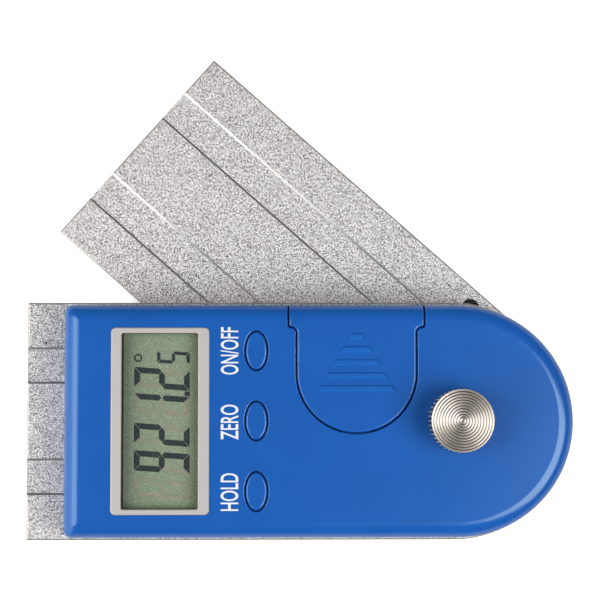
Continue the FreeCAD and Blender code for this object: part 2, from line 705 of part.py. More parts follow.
def square_end_corner(edge):
    """True for an upright edge at the case's square end."""
    return upright(edge) and edge.BoundBox.XMax < -mm("dims.case_length - dims.wall_thick / 2")


def base_cover():
    """Lower half of the case: a tray with board posts and a locating lip."""
    tray = body("base_cover")
    plan = sketch(tray, level=SPLIT_Z)
    case_outline(plan)
    pad(tray, plan, "dims.tray_high", draft="-dims.case_draft", down=True)
    soften(tray, "Fillet", "dims.case_corner", square_end_corner)

    hollow = sketch(tray, level=FLOOR_Z)
    case_outline(hollow, "dims.wall_thick")
    cut(tray, hollow, "dims.tray_high")

    lip = sketch(tray, level=f"{SPLIT_Z} - dims.lip_high")
    case_outline(lip, "(dims.wall_thick - dims.lip_thick + dims.lip_gap)")
    case_outline(lip, "dims.wall_thick")
    pad(tray, lip, "2 * dims.lip_high")
    notch = sketch(tray, level=SPLIT_Z)
    rectangle(notch, "-dims.hatch_middle - dims.hatch_shoulder - 2 * dims.hatch_gap",
              "-dims.hatch_middle + dims.hatch_shoulder + 2 * dims.hatch_gap",
              f"{CASE_HALF} - 2 * dims.wall_thick", CASE_HALF)
    cut(tray, notch, "2 * dims.lip_high")

    posts = sketch(tray, level=FLOOR_Z)
    circles(posts, "dims.board_post_radius", BOARD_SCREWS)
    pad(tray, posts, f"{BOARD_Z} - {FLOOR_Z}")
    pilots = sketch(tray, level=FLOOR_Z)
    circles(pilots, "dims.board_screw_radius + dims.seat_gap", BOARD_SCREWS)
    cut(tray, pilots, f"{BOARD_Z} - {FLOOR_Z}")

    holes = sketch(tray, level=DECK_Z)
    circle(holes, "dims.hub_opening")
    circles(holes, "dims.case_screw_radius + dims.run_gap", CASE_SCREWS)
    cut(tray, holes, "dims.tray_floor")
    return tray


def cover_form(name):
    """Outside of the top cover before it is hollowed."""
    form = body(name)
    plan = sketch(form, level=SPLIT_Z)
    case_outline(plan)
    pad(form, plan, "dims.cover_high", draft="-dims.case_draft")
    soften(form, "Fillet", "dims.case_corner", square_end_corner)
    soften(form, "Fillet", "dims.case_edge", lambda edge: at_height(edge, mm(TOP_Z)))
    return form


def hatch_outline(plan, grow):
    """Plan of the battery cover, or of its opening when it grows by the gap."""
    turn = "(dims.hatch_shoulder - dims.hatch_half - dims.hatch_round)"
    middle = "-dims.hatch_middle"
    end = f"({CASE_HALF} + dims.wall_thick)"
    step = f"({HATCH_STEP} + dims.hatch_round)"
    neck = f"({HATCH_STEP} - {turn})"

    def side(sign):
        """X of the step's bend, the shoulder and the flank on one side of the centre line."""
        bend = f"{middle} {sign} (dims.hatch_shoulder - dims.hatch_round)"
        shoulder = f"{middle} {sign} (dims.hatch_shoulder + {grow})"
        flank = f"{middle} {sign} (dims.hatch_half + {grow})"
        return bend, shoulder, flank

    left_bend, left_shoulder, left_flank = side("-")
    right_bend, right_shoulder, right_flank = side("+")
    low_step = f"{HATCH_STEP} - {grow}"
    outline(plan, [
        (left_shoulder, end),
        (left_shoulder, step, left_bend, step, 1),
        (left_bend, low_step, left_bend, neck, -1),
        (left_flank, neck),
        (left_flank, HATCH_NOSE, middle, HATCH_NOSE, 1),
        (right_flank, HATCH_NOSE),
        (right_flank, neck, right_bend, neck, -1),
        (right_bend, low_step, right_bend, step, 1),
        (right_shoulder, step),
        (right_shoulder, end)])


def lip_box(plan, grow, inner):
    """Plan of the battery cover's turned-down edge, or of its opening in the case wall."""
    rectangle(plan, f"-dims.hatch_middle - (dims.hatch_shoulder + {grow})",
              f"-dims.hatch_middle + (dims.hatch_shoulder + {grow})",
              inner, f"{CASE_HALF} + dims.wall_thick")


def top_cover():
    """Upper half of the case with its posts, display pocket and openings."""
    cover = cover_form("top_cover")
    hollow = sketch(cover, level=SPLIT_Z)
    case_outline(hollow, "dims.wall_thick")
    cut(cover, hollow, "dims.cover_high - dims.roof_thick")
    rebate = sketch(cover, level=SPLIT_Z)
    case_outline(rebate, "(dims.wall_thick - dims.lip_thick)")
    cut(cover, rebate, "dims.lip_high + dims.lip_gap")

    inner_frame_wide = f"({LCD_WIDE} / 2 + dims.lip_gap)"
    inner_frame_long = f"({LCD_LONG} / 2 + dims.lip_gap)"
    frame = sketch(cover, level=ROOF_Z)
    for wall in ("0", "dims.frame_wall"):
        rectangle(frame, f"-dims.bezel_middle - ({inner_frame_wide} + {wall})",
                  f"-dims.bezel_middle + ({inner_frame_wide} + {wall})",
                  f"-({inner_frame_long} + {wall})", f"{inner_frame_long} + {wall}")
    pad(cover, frame, "dims.frame_deep", down=True)
    tube = sketch(cover, level=ROOF_Z)
    circle(tube, "dims.pivot_hole + dims.tube_wall")
    pad(cover, tube, "dims.tube_deep", down=True)
    posts = sketch(cover, level=ROOF_Z)
    circles(posts, "dims.post_radius", CASE_SCREWS)
    pad(cover, posts, f"{ROOF_Z} - {FLOOR_Z} - dims.seat_gap", down=True)

    pilots = sketch(cover, level=FLOOR_Z)
    circles(pilots, "dims.case_screw_radius + dims.seat_gap", CASE_SCREWS)
    cut(cover, pilots, f"{FIXED_Z} + dims.case_screw_long + dims.case_screw_radius - {FLOOR_Z}")
    pivot = sketch(cover, level=FLOOR_Z)
    circle(pivot, "dims.pivot_hole")
    cut(cover, pivot, f"{TOP_Z} - {FLOOR_Z}")

    recess = sketch(cover, level=BEZEL_Z)
    rectangle(recess, f"-dims.bezel_middle - ({BEZEL_WIDE} / 2 + dims.seat_gap)",
              f"-dims.bezel_middle + ({BEZEL_WIDE} / 2 + dims.seat_gap)",
              f"-({BEZEL_LONG} / 2 + dims.seat_gap)", f"({BEZEL_LONG} / 2 + dims.seat_gap)",
              "dims.bezel_round")
    cut(cover, recess, "dims.bezel_inset")
    opening = sketch(cover, level=ROOF_Z)
    rectangle(opening, f"-dims.bezel_middle - ({LENS_WIDE} / 2 + dims.seat_gap)",
              f"-dims.bezel_middle + ({LENS_WIDE} / 2 + dims.seat_gap)",
              f"-({LENS_LONG} / 2 + dims.seat_gap)", f"({LENS_LONG} / 2 + dims.seat_gap)")
    cut(cover, opening, "dims.roof_thick")

    ovals = sketch(cover, level=ROOF_Z)
    for _, across in BUTTONS:
        oval(ovals, "dims.button_long + dims.button_gap", "dims.button_wide + dims.button_gap",
             "-dims.button_back", across)
    cut(cover, ovals, "dims.roof_thick")
    soften(cover, "Fillet", "dims.button_rim", button_rim)

    hatch = sketch(cover, level=ROOF_Z)
    hatch_outline(hatch, "dims.hatch_gap")
    cut(cover, hatch, "2 * dims.roof_thick")
    edge = sketch(cover, level=SPLIT_Z)
    lip_box(edge, "dims.hatch_gap", f"{CASE_HALF} - 2 * dims.wall_thick")
    cut(cover, edge, "dims.cover_high - dims.roof_thick")
    soften(cover, "Fillet", "dims.hatch_rim", hatch_rim)
    return cover


def hatch_rim(edge):
    """True for an edge of the battery cover, or of its opening, in the case's flat top."""
    box, middle = edge.BoundBox, -mm("dims.hatch_middle")
    reach = mm("dims.hatch_shoulder + 2 * dims.hatch_gap")
    return at_height(edge, mm(TOP_Z)) and box.XMin > middle - reach and box.XMax < middle + reach


def button_rim(edge):
    """True for the top edge of a button's hole in the top cover."""
    box = edge.BoundBox
    return at_height(edge, mm(TOP_Z)) and edge.Closed and (
        abs(box.YLength - 2 * mm("dims.button_long + dims.button_gap")) < ALIKE)


def button(name, across):
    """Oval key with a flange under the roof and a stem over its switch."""
    key = body(name)
    low = f"({ROOF_Z} - dims.flange_gap - dims.flange_thick)"
    top = f"({TOP_Z} + dims.button_proud)"
    cap = sketch(key, level=low)
    oval(cap, "dims.button_long", "dims.button_wide", "-dims.button_back", across)
    pad(key, cap, f"{top} - {low}")
    soften(key, "Fillet", "dims.button_edge", lambda edge: at_height(edge, mm(top)))
    flange = sketch(key, level=low)
    oval(flange, "dims.button_long + dims.button_flange", "dims.button_wide + dims.button_flange",
         "-dims.button_back", across)
    pad(key, flange, "dims.flange_thick")
    plunger_top = f"({BOARD_TOP} + dims.switch_high + dims.plunger_high)"
    stem = sketch(key, level=low)
    circle(stem, "dims.stem_radius", "-dims.button_back", across)
    pad(key, stem, f"{low} - {plunger_top} - dims.press_travel - dims.press_gap", down=True)
    return key


def battery_cover():
    """Sliding cover: cut from the top cover's own form, with runners, nose tab and grip bars."""
    form = cover_form("battery_cover_form")
    blank = body("battery_cover_blank")
    plate = sketch(blank, level=ROOF_Z)
    hatch_outline(plate, "0")
    pad(blank, plate, "2 * dims.roof_thick")
    edge = sketch(blank, level=f"{SPLIT_Z} + dims.hatch_gap")
    lip_box(edge, "0", f"{CASE_HALF} - dims.wall_thick")
    pad(blank, edge, f"{TOP_Z} - {SPLIT_Z}")
    skin = doc.addObject("Part::Common", "battery_cover_skin")
    skin.Base = form
    skin.Tool = blank
    doc.recompute()
    rounded = doc.addObject("Part::Fillet", "battery_cover_rounded")
    rounded.Base = skin
    radius = mm("dims.hatch_edge")
    rounded.Edges = [(index, radius, radius)
                     for index, edge in enumerate(skin.Shape.Edges, start=1) if hatch_rim(edge)]

    pieces = doc.addObject("Part::MultiFuse", "battery_cover")
    pieces.Shapes = [rounded, battery_cover_runners()] + battery_cover_grips()
    pieces.Refine = True
    doc.recompute()
    return pieces


def battery_cover_runners():
    """Runners along both flanks and a tab at the nose, which hold the cover under the roof."""
    rails = body("battery_cover_runners")
    low = f"({RAIL_TOP} - dims.rail_thick)"
    flanges = sketch(rails, level=low)
    roots = sketch(rails, level=RAIL_TOP)
    for sign in ("-", "+"):
        flush = f"-dims.hatch_middle {sign} dims.hatch_half"
        inner = f"-dims.hatch_middle {sign} (dims.hatch_half - dims.rail_root)"
        outer = f"-dims.hatch_middle {sign} (dims.hatch_half + dims.rail_reach)"
        rectangle(flanges, inner, outer, HATCH_NOSE, RAIL_END)
        rectangle(roots, inner, flush, HATCH_NOSE, RAIL_END)
    tab_left = "-dims.hatch_middle - dims.nose_tab / 2"
    tab_right = "-dims.hatch_middle + dims.nose_tab / 2"
    nose = f"({HATCH_NOSE} - dims.hatch_half)"
    rectangle(flanges, tab_left, tab_right, f"{nose} - dims.rail_reach", f"{nose} + dims.rail_root")
    rectangle(roots, tab_left, tab_right,
              f"{nose} + dims.rail_root / 2", f"{nose} + dims.rail_root")
    pad(rails, flanges, "dims.rail_thick")
    pad(rails, roots, f"{ROOF_Z} - {RAIL_TOP}")
    return rails


def battery_cover_grips():
    """Raised bars that narrow to a point towards the way the cover slides."""
    bars = []
    for index in range(int(mm("dims.grip_count")) + 1):
        proud = "dims.grip_proud"
        bar = body("battery_cover_grip_%d" % index)
        low = f"({GRIP_FIRST} + {index} * dims.grip_pitch)"
        half = f"(dims.grip_wide / 2 - {index} * dims.grip_pitch * tan(dims.grip_slope))"
        tall = "dims.grip_tall"
        if index == int(mm("dims.grip_count")):
            tall = f"({half} / tan(dims.grip_slope))"
            proud = "dims.grip_tip"
        narrow = f"({half} - {tall} * tan(dims.grip_slope))"
        plan = sketch(bar, level=TOP_Z)
        corners = [(f"-dims.hatch_middle - {half}", low), (f"-dims.hatch_middle + {half}", low)]
        if tall == "dims.grip_tall":
            corners.append((f"-dims.hatch_middle + {narrow}", f"{low} + {tall}"))
        corners.append((f"-dims.hatch_middle - {narrow}", f"{low} + {tall}"))
        outline(plan, corners)
        pad(bar, plan, proud, draft="-dims.grip_draft")
        bars.append(bar)
    return bars


def case_screws():
    """Screws from under the fixed arm into the top cover's posts."""
    return countersunk_screws(
        "case_screws", CASE_SCREWS, f"({FIXED_Z} + dims.screw_sink)",
        "dims.case_screw_radius", "dims.case_screw_head", "dims.case_screw_long")


# ---------------------------------------------------------------------------------------------
# Display
# ---------------------------------------------------------------------------------------------

def centred(wide, long_way, shift="0"):
    """Sides of a rectangle centred on the display."""
    middle = f"-dims.bezel_middle - {shift}"
    return (f"{middle} - {wide} / 2", f"{middle} + {wide} / 2",
            f"-{long_way} / 2", f"{long_way} / 2")


def display_bezel():
    """Frame round the window, in the top cover's recess."""
    bezel = body("display_bezel")
    plan = sketch(bezel, level=BEZEL_Z)
    rectangle(plan, *centred(BEZEL_WIDE, BEZEL_LONG), "dims.bezel_round")
    rectangle(plan, *centred("dims.window_wide", WINDOW_LONG, "dims.window_shift"),
              "dims.window_round")
    pad(bezel, plan, "dims.bezel_inset + dims.bezel_proud")
    high = mm(f"{BEZEL_Z} + dims.bezel_inset + dims.bezel_proud")
    soften(bezel, "Fillet", "dims.bezel_edge", lambda edge: at_height(edge, high))
    return bezel


def display_lens():
    """Clear window under the bezel."""
    lens = body("display_lens")
    plan = sketch(lens, level=BEZEL_Z)
    rectangle(plan, *centred(LENS_WIDE, LENS_LONG))
    pad(lens, plan, "dims.lens_thick", down=True)
    return lens


def lcd_panel():
    """Display glass."""
    glass = body("lcd_panel")
    plan = sketch(glass, level=LCD_TOP)
    rectangle(plan, *centred(LCD_WIDE, LCD_LONG))
    pad(glass, plan, "dims.lcd_thick", down=True)
    return glass


def zebra_strips():
    """Contact strips between board and display glass."""
    strips = body("zebra_strips")
    plan = sketch(strips, level=BOARD_TOP)
    for sign in ("-", "+"):
        outer = f"-dims.bezel_middle {sign} ({LCD_WIDE} / 2 - dims.strip_inset)"
        inner = f"{outer} {'+' if sign == '-' else '-'} dims.strip_wide"
        rectangle(plan, outer, inner, f"-{STRIP_LONG} / 2", f"{STRIP_LONG} / 2")
    pad(strips, plan, f"{LCD_TOP} - dims.lcd_thick - {BOARD_TOP}")
    return strips


# ---------------------------------------------------------------------------------------------
# Electronics
# ---------------------------------------------------------------------------------------------

def main_board():
    """Circuit board on the tray's posts, with the sensing ring over the rotor."""
    board = body("main_board")
    plan = sketch(board, level=BOARD_Z)
    outline(plan, [
        ("-dims.board_left", f"-{BOARD_HALF}"), ("0", f"-{BOARD_HALF}", "0", "0", 1),
        ("0", BOARD_HALF), ("-dims.board_left", BOARD_HALF)])
    pad(board, plan, "dims.board_thick")
    holes = sketch(board, level=BOARD_Z)
    circle(holes, "dims.board_hole")
    circles(holes, "dims.board_screw_radius + dims.run_gap", BOARD_SCREWS)
    cut(board, holes, "dims.board_thick")
    relief = sketch(board, level=BOARD_Z)
    circles(relief, "dims.post_radius + dims.board_gap", CASE_SCREWS[2:])
    cut(board, relief, "dims.board_thick")
    return board


def board_screws():
    """Screws that hold the board to the tray's posts."""
    screws = body("board_screws")
    shanks = sketch(screws, level=f"{FLOOR_Z} + dims.seat_gap")
    heads = sketch(screws, level=BOARD_TOP)
    circles(shanks, "dims.board_screw_radius", BOARD_SCREWS)
    circles(heads, "dims.board_screw_head", BOARD_SCREWS)
    pad(screws, shanks, f"{BOARD_TOP} - {FLOOR_Z} - dims.seat_gap")
    pad(screws, heads, "dims.board_screw_cap", draft="-15")
    return screws


def controller_chip():
    """Controller package on the board."""
    chip = body("controller_chip")
    plan = sketch(chip, level=BOARD_TOP)
    rectangle(plan, "-dims.chip_back - dims.chip_wide / 2", "-dims.chip_back + dims.chip_wide / 2",
              "-dims.chip_side - dims.chip_wide / 2", "-dims.chip_side + dims.chip_wide / 2")
    pad(chip, plan, "dims.chip_high", draft="-8")
    return chip


def timing_crystal():
    """Crystal can beside the controller."""
    can = body("timing_crystal")
    plan = sketch(can, level=BOARD_TOP)
    left = "(-dims.chip_back - dims.chip_wide / 2 - 3 * dims.crystal_radius)"
    low = "(-dims.chip_side - dims.crystal_long / 2 + dims.crystal_radius)"
    high = "(-dims.chip_side + dims.crystal_long / 2 - dims.crystal_radius)"
    outline(plan, [
        (f"{left} - dims.crystal_radius", low, left, low, 1),
        (f"{left} + dims.crystal_radius", low),
        (f"{left} + dims.crystal_radius", high, left, high, 1),
        (f"{left} - dims.crystal_radius", high)])
    pad(can, plan, "dims.crystal_high")
    return can


def tact_switches():
    """One switch under each button."""
    switches = body("tact_switches")
    housings = sketch(switches, level=BOARD_TOP)
    plungers = sketch(switches, level=f"{BOARD_TOP} + dims.switch_high")
    for _, across in BUTTONS:
        rectangle(housings, "-dims.button_back - dims.switch_wide / 2",
                  "-dims.button_back + dims.switch_wide / 2",
                  f"{across} - dims.switch_wide / 2", f"{across} + dims.switch_wide / 2")
        circle(plungers, "dims.plunger_radius", "-dims.button_back", across)
    pad(switches, housings, "dims.switch_high")
    pad(switches, plungers, "dims.plunger_high")
    return switches


# ---------------------------------------------------------------------------------------------
# Battery
# ---------------------------------------------------------------------------------------------

def over_cell(item):
    """Move a body that is drawn about its own Z axis to the coin cell's axis."""
    item.setExpression("Placement.Base.x", "-dims.hatch_middle")
    item.setExpression("Placement.Base.y", HATCH_NOSE)
    return item


def coin_cell():
    """Coin cell, its smaller negative face down."""
    return over_cell(turned("coin_cell", [
        ("0", CELL_Z),
        ("dims.cell_rim", CELL_Z),
        ("dims.cell_rim", f"{CELL_Z} + dims.cell_step"),
        ("dims.cell_radius", f"{CELL_Z} + dims.cell_step"),
        ("dims.cell_radius", f"{CELL_Z} + dims.cell_thick"),
        ("0", f"{CELL_Z} + dims.cell_thick")]))


def battery_holder():
    """Round cup on the board, open towards the positive contact."""
    inner = "(dims.cell_radius + dims.holder_gap)"
    cup = over_cell(turned("battery_holder", [
        ("0", BOARD_TOP),
        (f"{inner} + dims.holder_wall", BOARD_TOP),
        (f"{inner} + dims.holder_wall", f"{BOARD_TOP} + dims.holder_high"),
        (inner, f"{BOARD_TOP} + dims.holder_high"),
        (inner, f"{BOARD_TOP} + dims.holder_floor"),
        ("0", f"{BOARD_TOP} + dims.holder_floor")]))
    notch = sketch(cup, level=BOARD_TOP)
    half = "(dims.contact_wide / 2 + dims.holder_gap)"
    rectangle(notch, f"-({inner} + 2 * dims.holder_wall)", "-(dims.cell_radius - dims.holder_wall)",
              f"-{half}", half)
    cut(cup, notch, "dims.holder_high")
    return cup


def bent_strip(name, corners):
    """Sheet-metal contact: a side view drawn in XZ, as wide as the contacts are."""
    strip = body(name)
    plan = sketch(strip, "XZ_Plane", "-dims.contact_wide / 2")
    outline(plan, corners)
    pad(strip, plan, "dims.contact_wide")
    return over_cell(strip)


def battery_contact_negative():
    """Leaf under the cell: a foot on the holder's floor and a spring that rises to the cell."""
    low = f"({BOARD_TOP} + dims.holder_floor)"
    high = f"({low} + dims.contact_rise)"
    reach = "(dims.cell_rim - dims.holder_wall)"
    return bent_strip("battery_contact_negative", [
        (f"-{reach}", low),
        ("0", low),
        (f"{reach} / 2", f"{high} - dims.contact_thick"),
        (reach, f"{high} - dims.contact_thick"),
        (reach, high),
        (f"{reach} / 2", high),
        ("0", f"{low} + dims.contact_thick"),
        (f"-{reach}", f"{low} + dims.contact_thick")])


def battery_contact_positive():
    """Upright spring against the cell's rim, with a foot on the board."""
    face = "-(dims.cell_radius + dims.seat_gap)"
    back = f"({face} - dims.contact_thick)"
    high = f"({CELL_Z} + dims.cell_thick - dims.contact_short)"
    return bent_strip("battery_contact_positive", [
        (f"{back} - dims.contact_reach", BOARD_TOP),
        (face, BOARD_TOP),
        (face, high),
        (back, high),
        (back, f"{BOARD_TOP} + dims.contact_thick"),
        (f"{back} - dims.contact_reach", f"{BOARD_TOP} + dims.contact_thick")])


# ---------------------------------------------------------------------------------------------
# Locking knob
# ---------------------------------------------------------------------------------------------

def lock_knob():
    """Knurled knob with a neck through the top cover, threaded on the shaft, and a turned face."""
    bore = "dims.thread_radius + dims.run_gap"
    low = f"({KNOB_Z} - dims.neck_long)"
    top = f"({KNOB_Z} + dims.knob_high)"
    knob = turned("lock_knob", [
        (bore, low),
        ("dims.knob_neck", low),
        ("dims.knob_neck", KNOB_Z),
        ("dims.knob_radius - dims.knob_edge", KNOB_Z),
        ("dims.knob_radius", f"{KNOB_Z} + dims.knob_edge"),
        ("dims.knob_radius", f"{top} - dims.knob_edge"),
        ("dims.knob_radius - dims.knob_edge", top),
        ("0", top),
        ("0", f"{KNOB_Z} + dims.bore_deep"),
        (bore, f"{KNOB_Z} + dims.bore_deep")])

    tooth = sketch(knob, level=KNOB_Z)
    half = "dims.knob_radius * sin(180 / dims.knurl_count)"
    outline(tooth, [
        ("dims.knob_radius - dims.knurl_deep", "0"),
        ("dims.knob_radius + dims.knurl_start", f"-{half}"),
        ("dims.knob_radius + dims.knurl_start", half)])
    notch = cut(knob, tooth, "dims.knob_high")
    repeat(knob, notch, tooth, "dims.knurl_count")

    rings = sketch(knob, "XZ_Plane")
    face = "(dims.knob_radius - dims.knob_edge - dims.rim_wide)"
    for index in range(int(mm(f"{face} / dims.turned_pitch"))):
        outer = f"({face} - {index} * dims.turned_pitch)"
        outline(rings, [
            (outer, top),
            (f"{outer} - dims.turned_pitch", top),
            (f"{outer} - dims.turned_pitch / 2", f"{top} - dims.turned_deep")])
    before = knob.Shape.Volume
    groove = knob.newObject("PartDesign::Groove", "lock_knob_rings")
    groove.Profile = rings
    groove.ReferenceAxis = (rings, ["V_Axis"])
    groove.Angle = 360
    doc.recompute()
    if knob.Shape.Volume > before - TINY_VOLUME:
        raise RuntimeError("the turned rings cut nothing")
    return knob


def knob_washer():
    """Washer between top cover and knob."""
    return turned("knob_washer", ring_section(
        "dims.knob_neck + dims.washer_gap", "dims.washer_radius",
        TOP_Z, f"{TOP_Z} + dims.washer_thick"))


# ---------------------------------------------------------------------------------------------
# Build, check and write
# ---------------------------------------------------------------------------------------------

NODES = [
    fixed_arm(), moving_arm(), pivot_shaft(), hub_screws(), arm_washer(), pivot_bushing(),
    disc_spring(), retaining_ring(), rotor_disc(), rotor_collar(),
    base_cover(), top_cover(), case_screws(), battery_cover(),
    display_bezel(), display_lens(), lcd_panel(), zebra_strips(),
    main_board(), board_screws(), controller_chip(), timing_crystal(), tact_switches(),
    coin_cell(), battery_holder(), battery_contact_negative(), battery_contact_positive(),
    lock_knob(), knob_washer(),
]
NODES += [button(name, across) for name, across in BUTTONS]
doc.recompute()

for item in doc.Objects:
    if "Invalid" in item.State or "Error" in item.State:
        raise RuntimeError(item.Name + " failed: " + ", ".join(item.State))
for node in NODES:
    if node.Shape.isNull() or not node.Shape.isValid():
        raise RuntimeError(node.Label + " has no valid shape")

os.makedirs("parts", exist_ok=True)
for node in NODES:
    node.Shape.exportStep("parts/" + node.Label + ".step")
    print("%-26s volume %9.2f" % (node.Label, node.Shape.Volume))
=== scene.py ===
import json
import math

import bmesh
import bpy
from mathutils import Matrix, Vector

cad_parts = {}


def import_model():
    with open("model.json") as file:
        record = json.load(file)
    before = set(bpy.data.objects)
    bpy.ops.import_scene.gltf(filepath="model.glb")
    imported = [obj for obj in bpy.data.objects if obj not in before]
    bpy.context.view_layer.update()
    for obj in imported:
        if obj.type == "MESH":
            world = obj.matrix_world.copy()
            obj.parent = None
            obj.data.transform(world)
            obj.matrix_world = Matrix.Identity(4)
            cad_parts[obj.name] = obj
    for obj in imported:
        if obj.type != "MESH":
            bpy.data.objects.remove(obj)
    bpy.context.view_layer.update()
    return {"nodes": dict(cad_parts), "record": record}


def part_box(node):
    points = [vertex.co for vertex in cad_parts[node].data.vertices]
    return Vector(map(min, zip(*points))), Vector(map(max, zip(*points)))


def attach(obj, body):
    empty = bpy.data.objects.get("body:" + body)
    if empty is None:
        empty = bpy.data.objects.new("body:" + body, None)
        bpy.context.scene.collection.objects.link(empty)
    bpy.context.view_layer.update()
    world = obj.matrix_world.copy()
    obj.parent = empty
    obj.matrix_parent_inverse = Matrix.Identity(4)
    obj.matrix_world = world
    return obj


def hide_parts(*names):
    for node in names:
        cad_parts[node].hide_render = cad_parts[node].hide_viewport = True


# Digital angle finder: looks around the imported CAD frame. Lengths are in millimetres unless a
# docstring says otherwise, and MM turns them to metres. +Z points out of the display, and the
# fixed arm runs from the pivot towards -X.

MM = 0.001

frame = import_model()


# ---------------------------------------------------------------------------------------------
# Colours and materials
# ---------------------------------------------------------------------------------------------

def srgb(red, green, blue):
    """Linear colour of an 8-bit sRGB colour."""
    def linear(value):
        share = value / 255
        return share / 12.92 if share <= 0.04045 else ((share + 0.055) / 1.055) ** 2.4
    return (linear(red), linear(green), linear(blue), 1.0)


class Look:
    """A node material: one Principled shader and short ways to feed it."""

    def __init__(self, name, color, rough, metal=0.0, **sockets):
        self.block = bpy.data.materials.new(name)
        self.block.use_nodes = True
        self.tree = self.block.node_tree
        self.shader = self.tree.nodes["Principled BSDF"]
        self.shader.inputs["Base Color"].default_value = color
        self.shader.inputs["Roughness"].default_value = rough
        self.shader.inputs["Metallic"].default_value = metal
        for socket, value in sockets.items():
            self.shader.inputs[socket.replace("_", " ")].default_value = value
        coords = self.tree.nodes.new("ShaderNodeTexCoord")
        self.place = coords.outputs["Object"]

    def add(self, kind, settings=None, **inputs):
        """A new node. Inputs are values or the outputs of other nodes, by socket name."""
        node = self.tree.nodes.new("ShaderNode" + kind)
        for key, value in (settings or {}).items():
            setattr(node, key, value)
        for socket, value in inputs.items():
            self.feed(node.inputs[socket.replace("_", " ")], value)
        return node

    def feed(self, socket, value):
        """Set a socket to a value, or link it."""
        if isinstance(value, bpy.types.NodeSocket):
            self.tree.links.new(value, socket)
        else:
            socket.default_value = value

    def stretched(self, x, y, z):
        """Object coordinates multiplied by three factors."""
        return self.add("Mapping", Vector=self.place, Scale=(x, y, z)).outputs["Vector"]

    def turned(self):
        """Object coordinates turned, so that no flat face lies along the noise's own cells."""
        return self.add("Mapping", Vector=self.place, Rotation=(0.61, 0.37, 0.2)).outputs["Vector"]

    def noise(self, scale, detail=2.0, rough=0.5, vector=None):
        """Noise between 0 and 1; scale is in cells per metre."""
        return self.add("TexNoise", Vector=vector or self.place, Scale=scale, Detail=detail,
                        Roughness=rough).outputs["Fac"]

    def cells(self, scale, vector=None):
        """Random value from 0 to 1 for each Voronoi cell; scale is in cells per metre."""
        cell = self.add("TexVoronoi", Vector=vector or self.place, Scale=scale).outputs["Color"]
        return self.add("SeparateColor", Color=cell).outputs["Red"]

    def ramp(self, source, *stops):
        """Colour ramp with stops of (position, colour)."""
        node = self.add("ValToRGB", Fac=source)
        elements = node.color_ramp.elements
        while len(elements) < len(stops):
            elements.new(1.0)
        for element, (position, color) in zip(elements, stops):
            element.position = position
            element.color = color
        return node.outputs["Color"]

    def spread(self, source, low, high, to_low=0.0, to_high=1.0):
        """Map a value from one range to another, clamped."""
        return self.add("MapRange", Value=source, From_Min=low, From_Max=high,
                        To_Min=to_low, To_Max=to_high).outputs["Result"]

    def maths(self, operation, *values):
        """A maths node on up to three values."""
        node = self.add("Math", {"operation": operation})
        for socket, value in zip(node.inputs, values):
            self.feed(socket, value)
        return node.outputs["Value"]

    def blend(self, share, first, second):
        """Mix two colours."""
        factor, color_a, color_b, mixed = 0, 6, 7, 2  # places of the Mix node's colour sockets
        node = self.add("Mix", {"data_type": "RGBA"})
        self.feed(node.inputs[factor], share)
        self.feed(node.inputs[color_a], first)
        self.feed(node.inputs[color_b], second)
        return node.outputs[mixed]

    def axis(self, letter):
        """One object coordinate."""
        return self.add("SeparateXYZ", Vector=self.place).outputs[letter]

    def from_axis(self):
        """Distance from the Z axis."""
        flat = self.stretched(1, 1, 0)
        return self.add("VectorMath", {"operation": "LENGTH"}, Vector=flat).outputs["Value"]

    def facing(self, letter):
        """One part of the object's own surface normal."""
        normal = self.add("TexCoord").outputs["Normal"]
        return self.add("SeparateXYZ", Vector=normal).outputs[letter]

    def color(self, value):
        """Feed the base colour."""
        self.feed(self.shader.inputs["Base Color"], value)

    def rough(self, value):
        """Feed the roughness."""
        self.feed(self.shader.inputs["Roughness"], value)

    def bump(self, height, depth, strength):
        """Feed the normal from a height between 0 and 1, whose full range is depth in mm."""
        node = self.add("Bump", Height=height, Distance=depth * MM, Strength=strength)
        if self.shader.inputs["Normal"].links:
            self.feed(node.inputs["Normal"], self.shader.inputs["Normal"].links[0].from_socket)
        self.feed(self.shader.inputs["Normal"], node.outputs["Normal"])


def shade(color, *factors):
    """A colour with its red, green and blue multiplied, by one factor or by one each."""
    factors = factors * 3 if len(factors) == 1 else factors
    return tuple(min(1.0, factor * part) for factor, part in zip(factors, color)) + (1.0,)


def blasted_aluminium():
    """Arm with a blasted grain on its flats, milled sides and channel walls, and chamfers painted
    dark brown as painted shade.
    """
    look = Look("arm_aluminium", srgb(205, 203, 202), 0.6, 0.5)
    grain = look.cells(8000, look.turned())
    level = look.maths("ABSOLUTE", look.facing("Z"))
    flat = look.spread(level, 0.93, 0.985)
    # painted shade: the sloped chamfers between the flats and the sides are coloured dark brown
    edge = look.maths("MULTIPLY", look.spread(level, 0.5, 0.6),
                      look.spread(level, 0.76, 0.82, 0.85, 0))
    blasted = look.ramp(grain, (0.23, srgb(32, 25, 23)), (0.34, srgb(196, 190, 189)),
                        (0.5, srgb(244, 241, 240)), (0.7, srgb(255, 254, 254)))
    mill = look.noise(3000, 2.0, vector=look.stretched(0.03, 0.03, 1))
    milled = look.ramp(mill, (0.36, srgb(232, 229, 224)), (0.6, srgb(250, 248, 243)))
    look.color(look.blend(flat, look.blend(edge, milled, srgb(84, 74, 68)), blasted))
    look.rough(look.spread(flat, 0, 1, look.spread(mill, 0.3, 0.7, 0.38, 0.28), 0.6))
    look.feed(look.shader.inputs["Metallic"], look.spread(flat, 0, 1, 1.0, 0.5))
    look.bump(look.maths("MULTIPLY", grain, flat), 0.03, 0.8)
    return look.block


